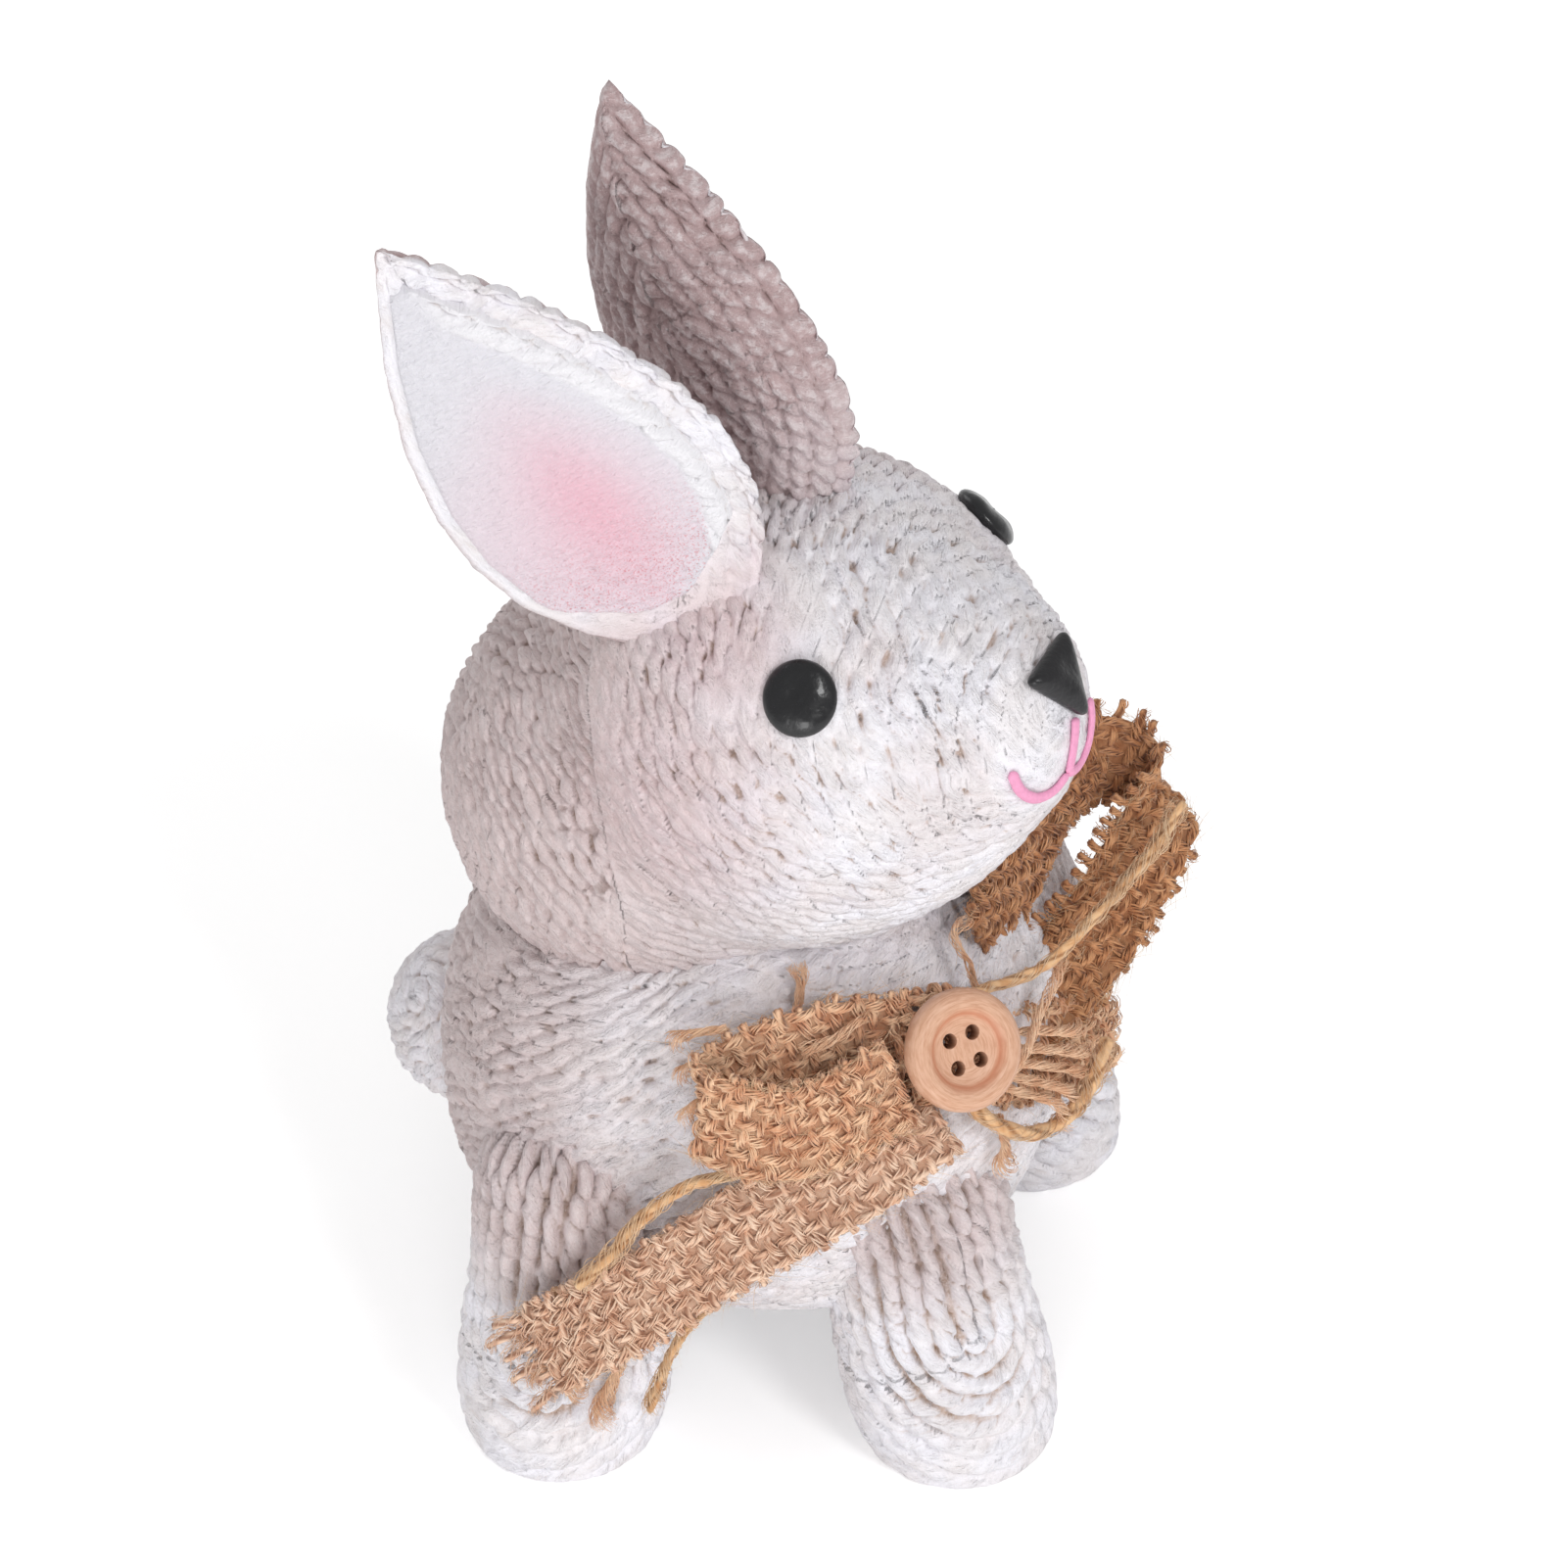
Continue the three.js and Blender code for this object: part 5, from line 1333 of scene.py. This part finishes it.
# Button, its profile as radius and height from the dished middle round to the back
HALF_THICK = BUTTON_THICK / 2
DISH_DEPTH = 1.1
BUTTON_PROFILE = [
    (BUTTON_DISH_RADIUS * 0.5, HALF_THICK - DISH_DEPTH), (BUTTON_DISH_RADIUS - 0.5, HALF_THICK - 1.0),
    (BUTTON_DISH_RADIUS, HALF_THICK - 0.72), (BUTTON_DISH_RADIUS + 0.35, HALF_THICK - 0.2),
    (BUTTON_DISH_RADIUS + 0.8, HALF_THICK - 0.02), (BUTTON_DISH_RADIUS + 1.6, HALF_THICK),
    (BUTTON_RADIUS - 0.9, HALF_THICK - 0.12), (BUTTON_RADIUS - 0.35, HALF_THICK - 0.5),
    (BUTTON_RADIUS - 0.05, HALF_THICK - 1.1), (BUTTON_RADIUS, 0.0), (BUTTON_RADIUS - 0.1, -HALF_THICK + 0.8),
    (BUTTON_RADIUS - 0.5, -HALF_THICK + 0.25), (BUTTON_RADIUS - 1.2, -HALF_THICK),
    (BUTTON_RADIUS * 0.4, -HALF_THICK),
]
HOLE_SPOTS = [
    (sx * BUTTON_HOLE_SPACING / 2 * 0.9, sy * BUTTON_HOLE_SPACING / 2) for sx in (-1, 1) for sy in (-1, 1)
]


def wood_paint():
    n = Nodes("button_wood")
    turned = n.field("turned", "Vector")
    grain = n.noise(n.scaled(turned, (0.35, 0.35, 3.0)), 1.6, 4.0, 0.6)
    rings = n.noise(n.scaled(turned, (0.0, 0.0, 6.0)), 1.0)
    colour = n.coats(
        n.mix(n.spread(grain, 0.35, 0.7), srgb(220, 176, 148), srgb(200, 150, 120)),
        (n.spread(rings, 0.45, 0.7, 0.0, 0.35), srgb(198, 142, 108)),
        # The dish's wall takes a darker orange and the holes a dark brown, both painted shade
        (n.field("edge"), srgb(198, 124, 90)),
        (n.field("hole"), srgb(96, 46, 24)),
    )
    return n.finish(colour, n.spread(grain, 0.3, 0.7, 0.38, 0.52), n.bumps((grain, 0.04, 0.7)), 0.45)


def hole_cutter():
    cutters = bmesh.new()
    for x, y in HOLE_SPOTS:
        bmesh.ops.create_cone(
            cutters, cap_ends=True, segments=28, radius1=BUTTON_HOLE_RADIUS, radius2=BUTTON_HOLE_RADIUS,
            depth=9, matrix=Matrix.Translation((x, y, 0)),
        )
    mesh = bpy.data.meshes.new("cut")
    cutters.to_mesh(mesh)
    cutters.free()
    return linked("cut", mesh)


def button_disc():
    around = 96
    radii, heights = (np.array(column)[:, None] for column in zip(*BUTTON_PROFILE))
    angle = full_turn(around)
    rings = np.stack([radii * np.cos(angle), radii * np.sin(angle), heights + 0 * angle], -1).reshape(-1, 3)
    sides = np.roll(ring_grid(len(radii), around)[0][:, ::-1], 1, axis=1)
    caps = [range(around), range(len(rings) - 1, len(rings) - around - 1, -1)]
    mesh = bpy.data.meshes.new("button_disc")
    mesh.from_pydata(rings.tolist(), [], sides.tolist() + [list(cap) for cap in caps])
    piece = linked("button_disc", mesh)
    cutter = hole_cutter()
    holes = piece.modifiers.new("holes", "BOOLEAN")
    holes.object = cutter
    holes.solver = "EXACT"
    bevel = piece.modifiers.new("soft_edges", "BEVEL")
    bevel.width = 0.22
    bevel.segments = 3
    bevel.angle_limit = math.radians(38)
    graph = bpy.context.evaluated_depsgraph_get()
    finished = bpy.data.meshes.new_from_object(piece.evaluated_get(graph))
    piece.modifiers.clear()
    piece.data = finished
    bpy.data.objects.remove(cutter)
    # From the disc's own place to its place on the knot
    out = unit(BUTTON_NORMAL)
    up = square_to(out, UPRIGHT)
    middle = KNOT_AT + out * (KNOT_HALF[2] + BUTTON_STAND_OFF + HALF_THICK)
    local = np.zeros(len(finished.vertices) * 3, np.float32)
    finished.vertices.foreach_get("co", local)
    x, y, z = local.reshape(-1, 3).astype(float).T
    write_points(finished, middle + np.cross(up, out) * x[:, None] + up * y[:, None] + out * z[:, None])
    radius = np.hypot(x, y)
    # Marks for the painted shade inside the holes and round the dish's wall
    near_hole = np.min([np.hypot(x - spot[0], y - spot[1]) for spot in HOLE_SPOTS], axis=0)
    in_hole = (near_hole < BUTTON_HOLE_RADIUS + 0.12) & (z < HALF_THICK - 1.15) & (radius < 4)
    finished.update()
    write_fields(finished, dict(
        turned=np.stack([x, y, radius], 1), hole=in_hole,
        edge=smoothstep(0.6, 0.1, np.abs(radius - BUTTON_DISH_RADIUS)) * (z > 0) * 0.7,
    ))
    finished.materials.clear()
    dressed(piece, wood_paint(), "button")


button_disc()


# Floor, light and background
LAMPS = [
    ("key", (-600, -760, 970), 300, 4.45),
    ("fill", (-520, -80, 130), 240, 0.85),
    ("rear", (260, 380, 420), 320, 0.5),
]
LAMP_TARGET = np.array([0.0, 0.0, 70.0])
WORLD_STRENGTH = 0.575
FLOOR_LIFT = 0.3


def stage():
    build = bmesh.new()
    bmesh.ops.create_grid(build, x_segments=1, y_segments=1, size=6.0)
    floor_mesh = bpy.data.meshes.new("floor")
    build.to_mesh(floor_mesh)
    build.free()
    floor = linked("floor", floor_mesh)
    n = Nodes("floor_white")
    speckle = n.noise(n.place(), 0.002)
    colour = n.mix(n.spread(speckle, 0.3, 0.7), (0.97, 0.97, 0.97, 1), (0.96, 0.96, 0.96, 1))
    # Seen by the camera or in a reflection, the floor is lifted to white under the object's own shadow
    path = n.add("ShaderNodeLightPath")
    seen = n.math("MAXIMUM", path.outputs["Is Camera Ray"], path.outputs["Is Glossy Ray"])
    n.put(n.shader.inputs["Emission Color"], (1, 1, 1, 1))
    n.put(n.shader.inputs["Emission Strength"], n.times(seen, FLOOR_LIFT))
    floor_mesh.materials.append(n.finish(colour, 0.9, specular=0.1))
    world = bpy.data.worlds.new("studio")
    bpy.context.scene.world = world
    world.use_nodes = True
    world.node_tree.nodes["Background"].inputs["Color"].default_value = (1, 1, 1, 1)
    world.node_tree.nodes["Background"].inputs["Strength"].default_value = WORLD_STRENGTH
    for name, place, size, power in LAMPS:
        light = bpy.data.lights.new(name, "AREA")
        light.size = size * MM
        light.energy = power
        aimed(linked(name, light), np.array(place, float), LAMP_TARGET)


stage()
bpy.context.scene.view_settings.view_transform = "Standard"
